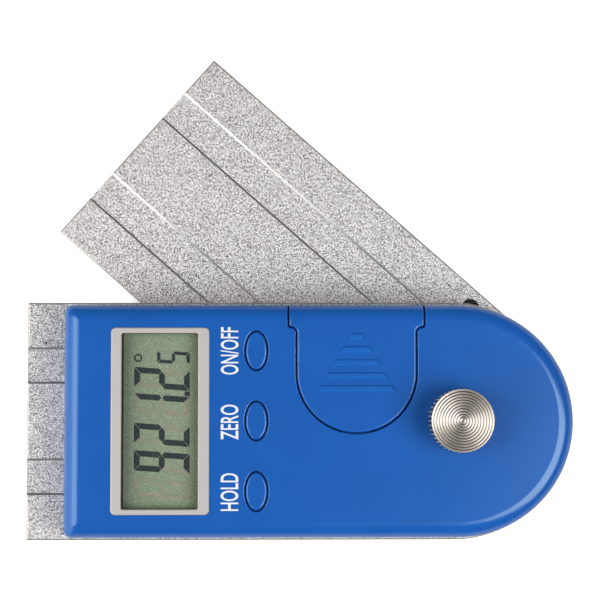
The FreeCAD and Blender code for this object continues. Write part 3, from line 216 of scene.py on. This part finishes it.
def turned_metal(name, color, rough, pitch):
    """Metal turned about Z: fine rings by the distance from the axis, and a little wear."""
    look = Look(name, color, rough, 1.0)
    rings = look.maths("SINE", look.maths("MULTIPLY", look.from_axis(), 2 * math.pi / (pitch * MM)))
    look.bump(look.spread(rings, -1, 1), 0.01, 0.6)
    cloud = look.noise(900, 3.0)
    look.rough(look.spread(cloud, 0.3, 0.7, rough - 0.03, rough + 0.03))
    return look.block


def knob_metal(color, painted_shade_color, top, deep, valley, crest):
    """Turned face that stretches its gloss across the rings, with painted shade in its ring grooves
    and knurl valleys.

    top is the height of the face, deep the depth of its rings, valley and crest the knurl's radii.
    """
    look = Look("knob_steel", color, 0.4, 1.0, Anisotropic=0.7, Anisotropic_Rotation=0.25)
    tangent = look.add("Tangent", {"direction_type": "RADIAL", "axis": "Z"}).outputs["Tangent"]
    look.feed(look.shader.inputs["Tangent"], tangent)
    side = look.spread(look.maths("ABSOLUTE", look.facing("Z")), 0.25, 0.6, 1, 0)
    # painted shade: the side is painted dark in the knurl valleys, and the face in the ring grooves
    knurl = look.spread(look.from_axis(), valley * MM, crest * MM, 1, 0)
    ring = look.spread(look.axis("Z"), (top - deep) * MM, (top - 0.1 * deep) * MM, 0.95, 0)
    ring = look.maths("MULTIPLY", ring, look.maths("SUBTRACT", 1.0, side))
    painted_shade_share = look.maths("MAXIMUM", look.maths("MULTIPLY", side, knurl), ring)
    look.color(look.blend(painted_shade_share, color, painted_shade_color))
    look.rough(look.spread(look.noise(900, 3.0), 0.3, 0.7, 0.36, 0.46))
    return look.block


def plain_metal(name, color, rough):
    """Plated or drawn metal with faint clouds and fine scratches."""
    look = Look(name, color, rough, 1.0)
    cloud = look.noise(700, 4.0)
    look.rough(look.spread(cloud, 0.3, 0.7, rough - 0.03, rough + 0.03))
    scratch = look.noise(3000, 1.0, vector=look.stretched(1, 0.08, 1))
    look.bump(scratch, 0.004, 0.5)
    return look.block


def satin_plastic(name, color, rough, tint=(1.0, 1.0, 1.0, 1.0), painted_highlight_height=None):
    """Moulded plastic with a fine spark-eroded grain.

    What stands above the given height is painted paler as a painted highlight, most on faces that
    turn towards -Y.
    """
    look = Look(name, color, rough, Specular_IOR_Level=0.7, Specular_Tint=tint)
    fine = look.noise(1900, 2.0)
    look.bump(fine, 0.0012, 0.5)
    tone = look.ramp(look.noise(60, 3.0), (0.3, shade(color, 0.93)), (0.7, shade(color, 1.05)))
    if painted_highlight_height is not None:
        # painted highlight: what stands above the given height is painted paler, most on faces
        # towards -Y
        above = look.spread(look.axis("Z"), (painted_highlight_height + 0.01) * MM, (painted_highlight_height + 0.07) * MM)
        painted_highlight_side = look.spread(look.maths("MULTIPLY", look.facing("Y"), -1.0), -0.25, 0.64)
        tone = look.blend(look.maths("MULTIPLY", above, painted_highlight_side), tone,
                          shade(color, 1.6, 1.42, 1.25))
    look.color(tone)
    look.rough(look.spread(fine, 0.3, 0.7, rough - 0.015, rough + 0.02))
    return look.block


def circuit_board(name, color, track):
    """Solder mask over copper tracks."""
    look = Look(name, color, 0.35, Coat_Weight=0.4, Coat_Roughness=0.2)
    lines = look.add("TexBrick", {"offset": 0.5}, Vector=look.place, Scale=420.0,
                     Color1=color, Color2=color, Mortar=track, Mortar_Size=0.06)
    look.color(lines.outputs["Color"])
    look.bump(lines.outputs["Fac"], 0.02, 0.5)
    return look.block


def display_glass():
    """Reflective display: olive with a silvery speckle, and painted shade that darkens it towards
    the edges, where the bezel shades it.
    """
    look = Look("lcd_glass", srgb(122, 138, 112), 0.5)
    speckle = look.noise(5200, 2.0, 0.6, look.turned())
    tone = look.ramp(speckle, (0.36, srgb(119, 137, 111)), (0.52, srgb(133, 152, 125)),
                     (0.68, srgb(184, 198, 178)))
    low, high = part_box("display_bezel")
    away_x = look.maths("ABSOLUTE", look.maths("SUBTRACT", look.axis("X"), (low.x + high.x) / 2))
    away_y = look.maths("ABSOLUTE", look.maths("SUBTRACT", look.axis("Y"), (low.y + high.y) / 2))
    # painted shade: the glass darkens towards the window's edges, as if shaded by the bezel
    bezel_shade_x = look.spread(away_x, 5.2 * MM, 8.2 * MM)
    bezel_shade_y = look.spread(away_y, 17.0 * MM, 18.4 * MM)
    edge = look.maths("MULTIPLY", look.maths("MAXIMUM", bezel_shade_x, bezel_shade_y), 0.2)
    look.color(look.blend(edge, tone, srgb(70, 84, 66)))
    return look.block


def clear_lens():
    """Clear window: nearly nothing but its gloss."""
    look = Look("lens_clear", srgb(12, 14, 12), 0.05, Alpha=0.04, Specular_IOR_Level=0.8)
    look.rough(look.spread(look.noise(300, 3.0), 0.3, 0.7, 0.03, 0.08))
    return look.block


def lacquer(name, color, edge_color, rough):
    """Silver lacquer that thins to a warmer tone where an edge turns down."""
    look = Look(name, color, rough, Specular_IOR_Level=0.6)
    fine = look.noise(3400, 2.0)
    face = look.ramp(fine, (0.35, shade(color, 0.96)), (0.6, color))
    turn = look.spread(look.maths("ABSOLUTE", look.facing("Z")), 0.3, 0.85, 1, 0)
    look.color(look.blend(turn, face, edge_color))
    look.bump(fine, 0.006, 0.7)
    look.rough(look.spread(fine, 0.3, 0.7, rough - 0.04, rough + 0.05))
    return look.block


def flat_paint(name, color, rough):
    """Paint or printed ink with a slightly uneven film."""
    look = Look(name, color, rough)
    look.color(look.ramp(look.noise(2200, 2.0), (0.3, shade(color, 0.9)), (0.55, color)))
    return look.block


def segment_ink():
    """Dark segments with the glass's own fine speckle."""
    look = Look("segment_dark", srgb(26, 40, 45), 0.5)
    speckle = look.noise(5200, 2.0, 0.6, look.turned())
    look.color(look.ramp(speckle, (0.5, srgb(24, 37, 42)), (0.6, srgb(36, 50, 53)),
                         (0.72, srgb(110, 124, 120))))
    return look.block


def segment_ghost():
    """Unlit segments: broken pinkish streaks that hardly stand out from the glass."""
    look = Look("segment_faint", srgb(134, 149, 124), 0.5)
    streak = look.noise(1100, 3.0, 0.6, look.stretched(0.35, 1, 1))
    look.color(look.ramp(streak, (0.42, srgb(134, 151, 125)), (0.56, srgb(150, 147, 129)),
                         (0.7, srgb(176, 164, 150))))
    return look.block


BLUE, BLUE_GLOSS = srgb(22, 92, 181), (0.74, 1.0, 1.0, 1.0)
CASE_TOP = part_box("top_cover")[1].z / MM
KNOB_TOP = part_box("lock_knob")[1].z / MM
RING_DEEP = 0.12  # depth of the rings in the knob's face
KNURL_VALLEY, KNURL_CREST = 6.2, 6.42  # radii between which the knurl's side is painted dark as painted shade
MATERIALS = {
    "arm_aluminium": blasted_aluminium(),
    "shaft_steel": turned_metal("shaft_steel", srgb(190, 190, 188), 0.3, 0.12),
    # the second colour is the dark colour painted as shade in the knob's knurls and rings
    "knob_steel": knob_metal(srgb(212, 203, 194), srgb(26, 21, 18),
                             KNOB_TOP, RING_DEEP, KNURL_VALLEY, KNURL_CREST),
    "screw_steel": plain_metal("screw_steel", srgb(176, 178, 182), 0.32),
    "spring_steel": plain_metal("spring_steel", srgb(120, 121, 125), 0.4),
    "bushing_brass": turned_metal("bushing_brass", srgb(214, 184, 116), 0.28, 0.1),
    "slip_plastic": satin_plastic("slip_plastic", srgb(232, 232, 226), 0.45),
    "rotor_board": circuit_board("rotor_board", srgb(24, 88, 46), srgb(60, 132, 70)),
    # the case's grip bars get the painted highlight
    "case_blue": satin_plastic("case_blue", BLUE, 0.22, BLUE_GLOSS, painted_highlight_height=CASE_TOP),
    "button_blue": satin_plastic("button_blue", BLUE, 0.22, BLUE_GLOSS),
    "bezel_silver": lacquer("bezel_silver", srgb(189, 187, 188), srgb(216, 190, 150), 0.35),
    "lens_clear": clear_lens(),
    "lcd_glass": display_glass(),
    "strip_rubber": satin_plastic("strip_rubber", srgb(40, 40, 40), 0.7),
    "board_green": circuit_board("board_green", srgb(18, 84, 44), srgb(48, 128, 66)),
    "chip_black": satin_plastic("chip_black", srgb(34, 34, 36), 0.5),
    "nickel": plain_metal("nickel", srgb(206, 203, 198), 0.24),
}

for entry in frame["record"]["subparts"]:
    node = frame["nodes"][entry["node"]]
    node.data.materials.clear()
    node.data.materials.append(MATERIALS[entry["material_slot"]])


# ---------------------------------------------------------------------------------------------
# Mesh helpers
# ---------------------------------------------------------------------------------------------

def piece(name, vertices, faces, material, body, smooth=False):
    """A new mesh piece, in millimetres, that rides on a body."""
    mesh = bpy.data.meshes.new(name)
    mesh.from_pydata([Vector(vertex) * MM for vertex in vertices], [], faces)
    mesh.update()
    mesh.materials.append(material)
    mesh.polygons.foreach_set("use_smooth", [smooth] * len(mesh.polygons))
    item = bpy.data.objects.new(name, mesh)
    bpy.context.scene.collection.objects.link(item)
    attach(item, body)
    return item


def plates(name, outlines, low, high, material, body):
    """Thin flat plates from outlines of (x, y) corners, all between two heights."""
    vertices, faces = [], []
    for corners in outlines:
        first, count = len(vertices), len(corners)
        area = sum(corners[i - 1][0] * corners[i][1] - corners[i][0] * corners[i - 1][1]
                   for i in range(count))
        loop = corners if area > 0 else corners[::-1]
        vertices += [(x, y, low) for x, y in loop] + [(x, y, high) for x, y in loop]
        faces.append([first + i for i in reversed(range(count))])
        faces.append([first + count + i for i in range(count)])
        for i in range(count):
            after = (i + 1) % count
            faces.append([first + i, first + after, first + count + after, first + count + i])
    return piece(name, vertices, faces, material, body)


def revolve(rows, around, start=None, end=None):
    """Vertices and faces of a shape turned about Z.

    Each row gives a radius and a height at an angular step. Start and end are the heights of the
    points on the axis that close the shape before its first row and after its last.
    """
    vertices = []
    for row in rows:
        for step in range(around):
            turn = 2 * math.pi * step / around
            out, high_at = row(step)
            vertices.append((out * math.cos(turn), out * math.sin(turn), high_at))
    faces = [[row * around + step, row * around + (step + 1) % around,
              (row + 1) * around + (step + 1) % around, (row + 1) * around + step]
             for row in range(len(rows) - 1) for step in range(around)]
    for height, first, way in ((start, 0, -1), (end, (len(rows) - 1) * around, 1)):
        if height is not None:
            tip = len(vertices)
            vertices.append((0, 0, height))
            faces += [[first + step, first + (step + 1) % around][::way] + [tip]
                      for step in range(around)]
    return vertices, faces


def centres(node):
    """Middles, in plan, of the separate solids of a CAD node, in millimetres."""
    apart, groups = 5.0, []
    shape = frame["nodes"][node]
    for vertex in shape.data.vertices:
        place = (shape.matrix_world @ vertex.co).to_2d() / MM
        near = [group for group in groups if (group[0] - place).length < apart]
        if near:
            near[0].append(place)
        else:
            groups.append([place])
    return [[(min(place[axis] for place in group) + max(place[axis] for place in group)) / 2
             for axis in (0, 1)] for group in groups]


# ---------------------------------------------------------------------------------------------
# Display: digits, unlit segments and degree ring, printed just above the glass
# ---------------------------------------------------------------------------------------------

def centre_x(node):
    """Middle of a CAD piece along X, in millimetres."""
    low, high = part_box(node)
    return (low.x + high.x) / 2 / MM


DISPLAY_X = centre_x("display_bezel")
GLASS_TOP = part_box("lcd_panel")[1].z / MM
DIGIT_HIGH, DIGIT_WIDE, STROKE, SEGMENT_GAP = 11.45, 4.16, 1.2, 0.1
SMALL_HIGH, SMALL_WIDE, SMALL_STROKE = 6.75, 2.6, 0.7
BASE_X = DISPLAY_X + 5.955  # foot of the digits
SLANT = math.tan(math.radians(4.2))
LIT = {"9": "abcdfg", "2": "abdeg", "1": "bc", "5": "acdfg", " ": ""}
POINT_LEFT, POINT_WIDE, POINT_HIGH = 5.05, 0.95, 1.08
RING_X, RING_Y = DISPLAY_X - 4.71, 12.98  # middle of the degree ring
RING_OUT, RING_IN, RING_STEPS = 0.86, 0.52, 40
UNLIT_INK, LIT_INK = (0.002, 0.008), (0.005, 0.02)  # bottom and top of each, above the glass


def segments(high, wide, stroke, gap):
    """The seven segments of a digit as outlines, from its lower left corner."""
    half, mid = stroke / 2, high / 2
    near, far = gap / 2, stroke + gap / 2
    upper_left = [(0, high - gap), (stroke, high - far), (stroke, mid + half + near),
                  (half, mid + near), (0, mid + half)]
    shapes = {
        "a": [(gap, high), (wide - gap, high), (wide - far, high - stroke), (far, high - stroke)],
        "f": upper_left,
        "g": [(half + near, mid), (stroke + near, mid + half), (wide - stroke - near, mid + half),
              (wide - half - near, mid), (wide - stroke - near, mid - half),
              (stroke + near, mid - half)],
    }
    shapes["b"] = [(wide - x, y) for x, y in upper_left]
    shapes["e"] = [(x, high - y) for x, y in upper_left]
    shapes["c"] = [(wide - x, high - y) for x, y in upper_left]
    shapes["d"] = [(x, high - y) for x, y in shapes["a"]]
    return shapes


def on_display(left, points):
    """Digit outline to the part frame: digits read towards +Y and stand up towards -X."""
    return [(BASE_X - y, left + x + y * SLANT) for x, y in points]


DIGITS = (
    (" ", -16.45, DIGIT_HIGH, DIGIT_WIDE, STROKE),
    ("9", -10.97, DIGIT_HIGH, DIGIT_WIDE, STROKE),
    ("2", -5.34, DIGIT_HIGH, DIGIT_WIDE, STROKE),
    ("1", 0.75, DIGIT_HIGH, DIGIT_WIDE, STROKE),
    ("2", 6.16, DIGIT_HIGH, DIGIT_WIDE, STROKE),
    ("5", 11.52, SMALL_HIGH, SMALL_WIDE, SMALL_STROKE),
)  # figure, left side along Y, height, width, stroke
lit, unlit = [], []
for figure, left, high, wide, stroke in DIGITS:
    for key, outline in segments(high, wide, stroke, SEGMENT_GAP).items():
        (lit if key in LIT[figure] else unlit).append(on_display(left, outline))
lit.append(on_display(POINT_LEFT, [(0, 0), (POINT_WIDE, 0), (POINT_WIDE, POINT_HIGH),
                                   (0, POINT_HIGH)]))
for index in range(RING_STEPS):
    turns = [2 * math.pi * step / RING_STEPS for step in (index, index + 1)]
    lit.append([(RING_X + radius * math.cos(turn), RING_Y + radius * math.sin(turn))
                for radius, turn in ((RING_OUT, turns[0]), (RING_OUT, turns[1]),
                                     (RING_IN, turns[1]), (RING_IN, turns[0]))])
plates("lcd_digits", lit, GLASS_TOP + LIT_INK[0], GLASS_TOP + LIT_INK[1],
       segment_ink(), "fixed_body")
plates("lcd_unlit", unlit, GLASS_TOP + UNLIT_INK[0], GLASS_TOP + UNLIT_INK[1],
       segment_ghost(), "fixed_body")


def window_painted_shadow():
    """Black bars round the window, between the clear lens and the bezel's bars: a painted shadow of
    the bezel on the glass.
    """
    lens_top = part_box("display_lens")[1].z / MM
    off_centre, half_x, half_y = 0.08, 7.94, 18.07
    wide_left, wide_right, end = 0.5, 0.12, 0.16
    middle = DISPLAY_X - off_centre
    x_low, x_high, y_low, y_high = middle - half_x, middle + half_x, -half_y, half_y
    left, right = x_low + wide_left, x_high - wide_right
    bars = [[(x_low, y_low), (left, y_low), (left, y_high), (x_low, y_high)],
            [(right, y_low), (x_high, y_low), (x_high, y_high), (right, y_high)],
            [(left, y_low), (right, y_low), (right, y_low + end), (left, y_low + end)],
            [(left, y_high - end), (right, y_high - end), (right, y_high), (left, y_high)]]
    # painted shadow: black bars where the bezel shades the glass, widest at the left
    plates("window_painted_shadow", bars, lens_top + 0.01, lens_top + 0.12,
           flat_paint("painted_shadow_black", srgb(22, 24, 25), 0.5), "fixed_body")


window_painted_shadow()


# ---------------------------------------------------------------------------------------------
# Key legends
# ---------------------------------------------------------------------------------------------

LEGEND_TO_KEY, LEGEND_HIGH, LEGEND_BOLD, LEGEND_PROUD = 3.65, 3.68, 0.009, 0.012
LEGEND_BASE_X = centre_x("button_zero") - LEGEND_TO_KEY
LEGENDS = (("legend_power", "ON/OFF", 9.48, 19.21), ("legend_zero", "ZERO", -3.82, 3.33),
           ("legend_hold", "HOLD", -18.3, -10.65))  # name, word, start and end along Y


def legend(name, text, low_y, high_y, material):
    """Printed word that reads towards +Y, fitted to its box on the case."""
    curve = bpy.data.curves.new(name, "FONT")
    curve.body = text
    curve.resolution_u = 4
    curve.offset = LEGEND_BOLD
    source = bpy.data.objects.new(name + "_source", curve)
    bpy.context.scene.collection.objects.link(source)
    bpy.context.view_layer.update()
    mesh = bpy.data.meshes.new_from_object(source)
    bpy.data.objects.remove(source)
    xs = [vertex.co.x for vertex in mesh.vertices]
    ys = [vertex.co.y for vertex in mesh.vertices]
    wide, high = max(xs) - min(xs), max(ys) - min(ys)
    for vertex in mesh.vertices:
        along = (vertex.co.x - min(xs)) / wide
        up = (vertex.co.y - min(ys)) / high
        vertex.co = Vector((LEGEND_BASE_X - up * LEGEND_HIGH,
                            low_y + along * (high_y - low_y), CASE_TOP + LEGEND_PROUD)) * MM
    work = bmesh.new()
    work.from_mesh(mesh)
    bmesh.ops.remove_doubles(work, verts=work.verts, dist=0.002 * MM)
    bmesh.ops.recalc_face_normals(work, faces=work.faces)
    if sum(face.normal.z for face in work.faces) < 0:
        bmesh.ops.reverse_faces(work, faces=work.faces)
    work.to_mesh(mesh)
    work.free()
    mesh.materials.clear()
    mesh.materials.append(material)
    item = bpy.data.objects.new(name, mesh)
    bpy.context.scene.collection.objects.link(item)
    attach(item, "fixed_body")


ink = flat_paint("legend_white", srgb(238, 240, 246), 0.45)
for name, text, low_y, high_y in LEGENDS:
    legend(name, text, low_y, high_y, ink)


# ---------------------------------------------------------------------------------------------
# Locking knob: knurled side and a turned face
# ---------------------------------------------------------------------------------------------

def locking_knob():
    """Revolved knob with rings in its face and straight knurls in its side."""
    low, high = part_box("lock_knob")
    top, bottom = high.z / MM, low.z / MM
    radius = (high.x - low.x) / 2 / MM
    teeth, per_tooth, deep, shallow = 42, 8, 0.38, 0.26
    neck, neck_long, bore, bore_end = 4.6, 2.0, 3.03, bottom + 7.0
    chamfer, lip, rim, pitch = 0.2, 0.16, 0.03, 0.57
    around = teeth * per_tooth
    groove = (0.0, 0.0, 0.0, 0.04, 0.2, 0.6, 1.0, 0.5)  # shares of the depth across one ring

    def knurl(step, depth):
        """Radius of the knurled side at an angular step."""
        share = abs((step % per_tooth) / per_tooth * 2 - 1)
        return radius - depth * (1 - share)

    face = radius - lip - rim
    rings = int(face / pitch)
    rows = [lambda step: (bore, bore_end), lambda step: (bore, bottom),
            lambda step: (neck, bottom),
            lambda step: (neck, bottom + neck_long),
            lambda step: (radius - deep, bottom + neck_long),
            lambda step: (knurl(step, deep), bottom + neck_long + chamfer),
            lambda step: (knurl(step, deep), top - lip - chamfer),
            lambda step: (knurl(step, shallow), top - lip),
            lambda step: (radius - lip, top)]
    sharp_rows = len(rows)
    for index in range(rings * len(groove) + 1):
        at = face - index * pitch / len(groove)
        wave = groove[index % len(groove)]
        rows.append(lambda step, at=at, wave=wave: (at, top - RING_DEEP * wave))
    vertices, faces = revolve(rows, around, bore_end, top - RING_DEEP / 2)
    knob = piece("locking_knob", vertices, faces, MATERIALS["knob_steel"],
                 "knob_body")
    for index, polygon in enumerate(knob.data.polygons):
        polygon.use_smooth = index >= sharp_rows * around
    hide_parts("lock_knob")


locking_knob()


# ---------------------------------------------------------------------------------------------
# Screws with a cross recess, threads of the tapped holes, and the coin cell's mark
# ---------------------------------------------------------------------------------------------

def cross_screws(node, body, shank, rim, head_up=False):
    """Threaded screws with a cross recess, where the CAD node's screws are.

    The rim is the head's outline: radius and depth below its face, down to the shank.
    """
    low, high = (corner.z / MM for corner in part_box(node))
    around, long, pitch, thread = 48, high - low, 0.6, 0.12
    head, reach_share, deep_share, narrow = rim[0][0], 0.62, 0.5, 0.4
    reach, deep = reach_share * head, deep_share * head
    half = reach * math.tan(math.radians(15))
    under_head, tip_share, recess_tip = 0.2, 0.6, 0.1
    place = (lambda depth: high - depth) if head_up else (lambda depth: low + depth)

    def cross(share, depth):
        """Row on the recess's wall."""
        def row(step):
            turn = (2 * math.pi * step / around + math.pi / 4) % (math.pi / 2) - math.pi / 4
            edge = min(reach / math.cos(turn), half / max(abs(math.sin(turn)), 0.01))
            return share * edge, place(depth)
        return row

    def ring(out, depth):
        """Row of one radius."""
        return lambda step: (out, place(depth))

    rows = [cross(narrow, deep), cross(1.0, 0.0)] + [ring(out, depth) for out, depth in rim]
    start = rim[-1][1] + under_head
    for index in range(int((long - start - pitch) / pitch * 2)):
        rows.append(ring(shank - thread * (index % 2), start + index * pitch / 2))
    rows.append(ring(tip_share * shank, long))
    ends = (place(deep + recess_tip), place(long))
    if head_up:
        rows, ends = rows[::-1], ends[::-1]
    one, faces_of_one = revolve(rows, around, *ends)
    vertices, faces = [], []
    for x, y in centres(node):
        faces += [[index + len(vertices) for index in face] for face in faces_of_one]
        vertices += [(x + at[0], y + at[1], at[2]) for at in one]
    item = piece(node + "_cross", vertices, faces, MATERIALS["screw_steel"], body)
    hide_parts(node)


def tapped_thread(name, hole):
    """Thread of a tapped hole in the moving arm: one helical ridge that stands in its bore."""
    low, high = (corner.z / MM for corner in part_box("moving_arm"))
    sunk, tall, half, pitch, steps, end = 0.02, 0.2, 0.3, 0.7, 24, 0.55
    root = hole["dims"]["r_mm"] + sunk
    section = ((root, -half), (root - tall, 0.0), (root, half))
    count = int((high - low - 2 * end) / pitch * steps)
    x, y = hole["pos_m"][0] / MM, hole["pos_m"][1] / MM
    vertices, faces = [], []
    for index in range(count + 1):
        turn, level = 2 * math.pi * index / steps, low + end + index * pitch / steps
        vertices += [(x + out * math.cos(turn), y + out * math.sin(turn), level + up)
                     for out, up in section]
    for index in range(count):
        here, after = 3 * index, 3 * index + 3
        faces += [[here + side, here + (side + 1) % 3, after + (side + 1) % 3, after + side]
                  for side in range(3)]
    faces += [[0, 2, 1], [3 * count, 3 * count + 1, 3 * count + 2]]
    piece(name, vertices, faces, MATERIALS["arm_aluminium"], "moving_body")


def cell_mark():
    """Raised plus on the coin cell."""
    low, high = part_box("coin_cell")
    x, y, top = (low.x + high.x) / 2 / MM, (low.y + high.y) / 2 / MM, high.z / MM
    long, half, sunk, proud = 2.6, 0.35, 0.02, 0.06
    corners = ((half, half), (half, long), (-half, long))
    mark = [(x + px * math.cos(turn) - py * math.sin(turn),
             y + px * math.sin(turn) + py * math.cos(turn))
            for turn in (math.pi / 2 * quarter for quarter in range(4)) for px, py in corners]
    plates("cell_mark", [mark], top - sunk, top + proud, MATERIALS["spring_steel"],
           "fixed_body")


cross_screws("case_screws", "fixed_body", 1.3, ((2.25, 0.0), (2.3, 0.1), (1.3, 1.1)))
cross_screws("hub_screws", "moving_body", 1.0, ((1.75, 0.0), (1.8, 0.1), (1.0, 0.9)))
cross_screws("board_screws", "fixed_body", 0.8,
             ((1.2, 0.0), (1.3, 0.15), (1.6, 1.05), (1.6, 1.1), (0.8, 1.1)), head_up=True)
for mount in frame["record"]["mounts"]:
    if mount["kind"] == "threaded_hole":
        tapped_thread(mount["name"].replace("hole", "thread"), mount)
cell_mark()


# ---------------------------------------------------------------------------------------------
# Floor, lights and camera
# ---------------------------------------------------------------------------------------------

def floor():
    """White floor that keeps the object's shadow and is white where nothing shades it."""
    mesh = bpy.data.meshes.new("floor")
    size = 6.0
    mesh.from_pydata([(-size, -size, 0), (size, -size, 0), (size, size, 0), (-size, size, 0)],
                     [], [(0, 1, 2, 3)])
    item = bpy.data.objects.new("floor", mesh)
    bpy.context.scene.collection.objects.link(item)
    item.location.z = -0.2 * MM
    look = Look("floor_white", (0.65, 0.65, 0.65, 1), 0.9, Specular_IOR_Level=0.1)
    rays = look.add("LightPath").outputs
    seen = look.maths("MULTIPLY", rays["Is Camera Ray"], 0.75)
    seen = look.maths("MULTIPLY_ADD", rays["Is Glossy Ray"], 0.15, seen)
    open_share = look.add("AmbientOcclusion", Distance=20 * MM).outputs["AO"]
    shown = look.maths("MULTIPLY", seen, look.spread(open_share, 0.1, 0.24, 0.04))
    glow = look.add("Emission", Strength=shown)
    both = look.add("AddShader")
    look.feed(both.inputs[0], look.shader.outputs[0])
    look.feed(both.inputs[1], glow.outputs[0])
    look.feed(look.tree.nodes["Material Output"].inputs["Surface"], both.outputs[0])
    mesh.materials.append(look.block)


def softbox(name, azimuth, zenith, spread, radiance, distance=0.9, aim=(-0.03, 0.0, 0.02)):
    """Rectangular lamp at an azimuth and an angle from overhead, in degrees.

    The spread is the angle that it fills, up and down and side to side, as seen from the point
    that it is aimed at. Distance and aim are in metres.
    """
    size = [2 * distance * math.tan(math.radians(angle) / 2) for angle in spread]
    data = bpy.data.lights.new(name, "AREA")
    data.shape = "RECTANGLE"
    data.size, data.size_y = size[1], size[0]
    data.energy = radiance * math.pi * size[0] * size[1]
    item = bpy.data.objects.new(name, data)
    bpy.context.scene.collection.objects.link(item)
    out, up = math.sin(math.radians(zenith)), math.cos(math.radians(zenith))
    turn = math.radians(azimuth)
    away = Vector((out * math.cos(turn), out * math.sin(turn), up))
    item.location = Vector(aim) + away * distance
    item.rotation_euler = away.to_track_quat("Z", "Y").to_euler()
    return item


def world():
    """Soft grey surroundings, white where the camera looks past the floor."""
    block = bpy.data.worlds.new("studio")
    bpy.context.scene.world = block
    block.use_nodes = True
    nodes, links = block.node_tree.nodes, block.node_tree.links
    back = nodes["Background"]
    back.inputs["Color"].default_value = (1, 1, 1, 1)
    path = nodes.new("ShaderNodeLightPath")
    choice = nodes.new("ShaderNodeMapRange")
    links.new(path.outputs["Is Camera Ray"], choice.inputs["Value"])
    choice.inputs["To Min"].default_value = 0.1
    choice.inputs["To Max"].default_value = 1.0
    links.new(choice.outputs["Result"], back.inputs["Strength"])


def camera():
    """The photograph's view."""
    data = bpy.data.cameras.new("camera")
    data.lens, data.sensor_width = 108.0, 36.0
    data.clip_start, data.clip_end = 0.01, 100.0
    item = bpy.data.objects.new("camera", data)
    bpy.context.scene.collection.objects.link(item)
    item.location = Vector((-39.22, 0.404, 392.76)) * MM
    item.rotation_euler = (0.0659741, -0.0179664, -0.0010154)
    bpy.context.scene.camera = item


floor()
world()
softbox("softbox_left", 180, 40, (33, 30), 3.8)
softbox("wall_left", 208, 71, (42, 64), 1.3)
softbox("softbox_right", -19, 37.5, (39, 36), 5.4, distance=0.55)
bounce = softbox("bounce_left", 180, 66, (40, 60), 2.6, 0.14, (-0.085, 0.0, 0.012))
bounce.data.color = (1.0, 0.86, 0.66)
bounce.visible_glossy = False
camera()
bpy.context.scene.view_settings.view_transform = "Standard"
